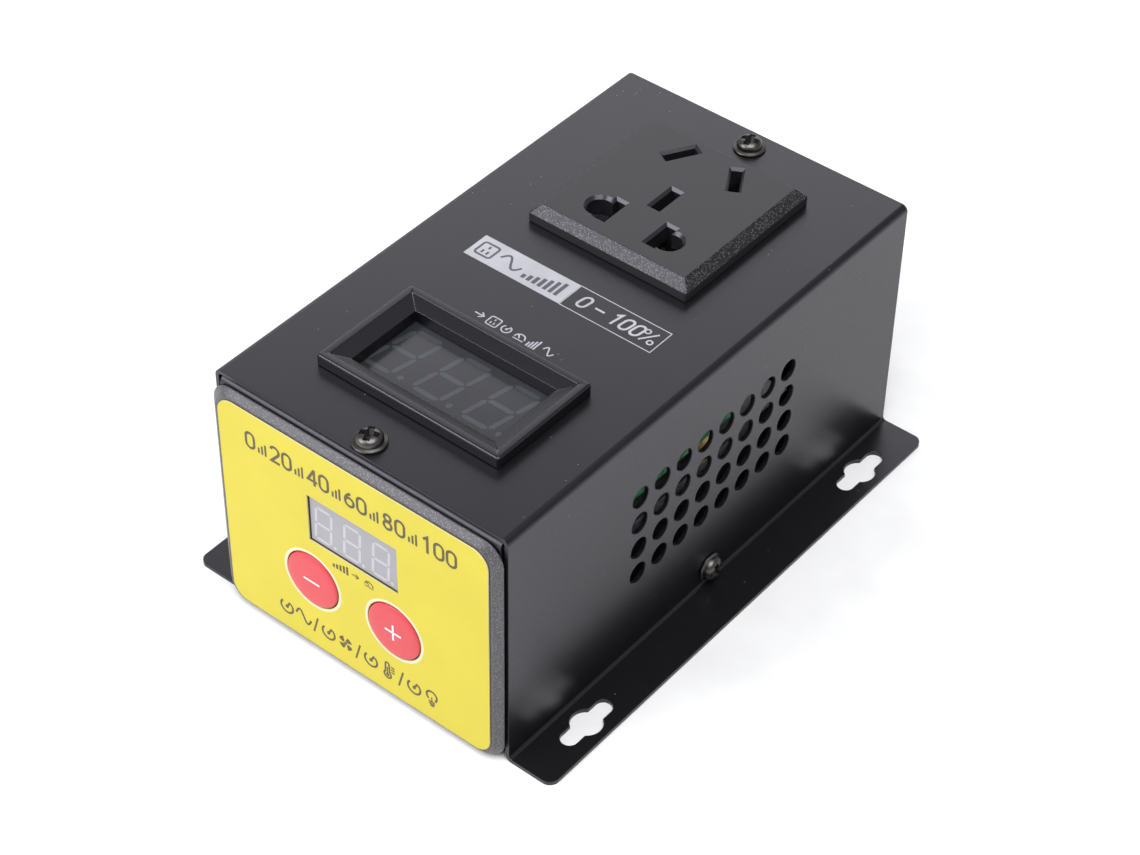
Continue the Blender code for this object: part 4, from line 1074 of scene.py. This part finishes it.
INSIDE = {
    BOARD_GREEN: ("power_board", "control_board", "voltmeter_board"),
    ALUMINIUM: ("heatsink",),
    BRASS: (
        "standoff_a", "standoff_b", "standoff_c", "standoff_d", "fuse_clip_left", "fuse_clip_right",
        "contact_earth", "contact_left", "contact_right",
    ),
    STEEL: (
        "board_screw_a", "board_screw_b", "board_screw_c", "board_screw_d", "triac_screw",
        "control_board_screw_left", "control_board_screw_right",
        "terminal_screw_left", "terminal_screw_middle", "terminal_screw_right",
    ),
    FAN_BLACK: ("fan_frame", "fan_rotor", "triac", "tact_switch_minus", "tact_switch_plus"),
    OUTLET_BODY: ("socket_body",),
    CAPACITOR_BLUE: ("electrolytic_capacitor",),
    CAPACITOR_YELLOW: ("film_capacitor",),
    FERRITE: ("choke_core", "transformer_core"),
    COPPER: ("choke_winding",),
    TAPE: ("transformer_winding",),
    CERAMIC: ("fuse_tube",),
    TERMINAL_GREEN: ("terminal_block",),
    METER_SEGMENT: ("voltmeter_display",),
}
for look, names in INSIDE.items():
    for name in names:
        for slot in NODES[name].material_slots:
            slot.material = look

# ---------------- studio
floor_mesh = bpy.data.meshes.new("studio_floor")
form = bmesh.new()
FLOOR_HALF = 2.2  # metres, as are the places of lights and camera below
for x, y in ((-1, -1), (1, -1), (1, 1), (-1, 1)):
    form.verts.new((x * FLOOR_HALF, y * FLOOR_HALF, 0.0))
form.faces.new(list(form.verts))
form.to_mesh(floor_mesh)
form.free()
floor = mesh_object("studio_floor", floor_mesh, FLOOR)

world = bpy.data.worlds.new("studio")
bpy.context.scene.world = world
world.use_nodes = True
background = world.node_tree.nodes["Background"]
background.inputs["Strength"].default_value = 1.0
# pale round the horizon, dimmer overhead
way = world.node_tree.nodes.new("ShaderNodeTexCoord")
split = world.node_tree.nodes.new("ShaderNodeSeparateXYZ")
sky = world.node_tree.nodes.new("ShaderNodeValToRGB")
for element, (height, glow) in zip(sky.color_ramp.elements, ((0.07, 1.0), (0.17, 0.32))):
    element.position = height
    element.color = (0.97 * glow, 0.98 * glow, glow, 1.0)
world.node_tree.links.new(way.outputs["Generated"], split.inputs["Vector"])
world.node_tree.links.new(split.outputs["Z"], sky.inputs["Fac"])
world.node_tree.links.new(sky.outputs["Color"], background.inputs["Color"])


def softbox(name, place, aim, size, watts):
    lamp_data = bpy.data.lights.new(name, "AREA")
    lamp_data.shape = "RECTANGLE"
    lamp_data.size, lamp_data.size_y = size
    lamp_data.energy = watts
    made = bpy.data.objects.new(name, lamp_data)
    made.location = place
    made.rotation_mode = "QUATERNION"
    made.rotation_quaternion = (Vector(aim) - Vector(place)).to_track_quat("-Z", "Y")
    bpy.context.scene.collection.objects.link(made)
    return made


softbox("key_light", (-0.52, -0.80, 0.72), (0.0, 0.0, 0.03), (0.7, 0.7), 9.0)
softbox("overhead_light", (0.70, -0.50, 2.57), (0.0, 0.0, 0.03), (2.0, 2.0), 68.0)
softbox("rear_panel", (-0.62, 0.80, 0.66), (0.0, 0.05, 0.06), (1.1, 0.5), 3.2)

# ---------------- camera
AZIMUTH, ELEVATION, ROLL = math.radians(38.596), math.radians(42.746), math.radians(1.006)
DISTANCE = 0.64796
TARGET = Vector((-0.020341, 0.025096 + CY * MM, -0.007780))
flat = math.cos(ELEVATION)
back = Vector((math.sin(AZIMUTH) * flat, -math.cos(AZIMUTH) * flat, math.sin(ELEVATION)))
right = Vector((0, 0, 1)).cross(back).normalized()
up = back.cross(right)
right, up = right * math.cos(ROLL) + up * math.sin(ROLL), up * math.cos(ROLL) - right * math.sin(ROLL)
camera_data = bpy.data.cameras.new("camera")
camera_data.sensor_width = 36.0
camera_data.lens = 88.95
camera_data.clip_start, camera_data.clip_end = 0.01, 20.0
camera = bpy.data.objects.new("camera", camera_data)
facing = Matrix((right, up, back)).transposed().to_4x4()
camera.matrix_world = Matrix.Translation(TARGET + back * DISTANCE) @ facing
bpy.context.scene.collection.objects.link(camera)
bpy.context.scene.camera = camera
bpy.context.scene.view_settings.view_transform = "Standard"
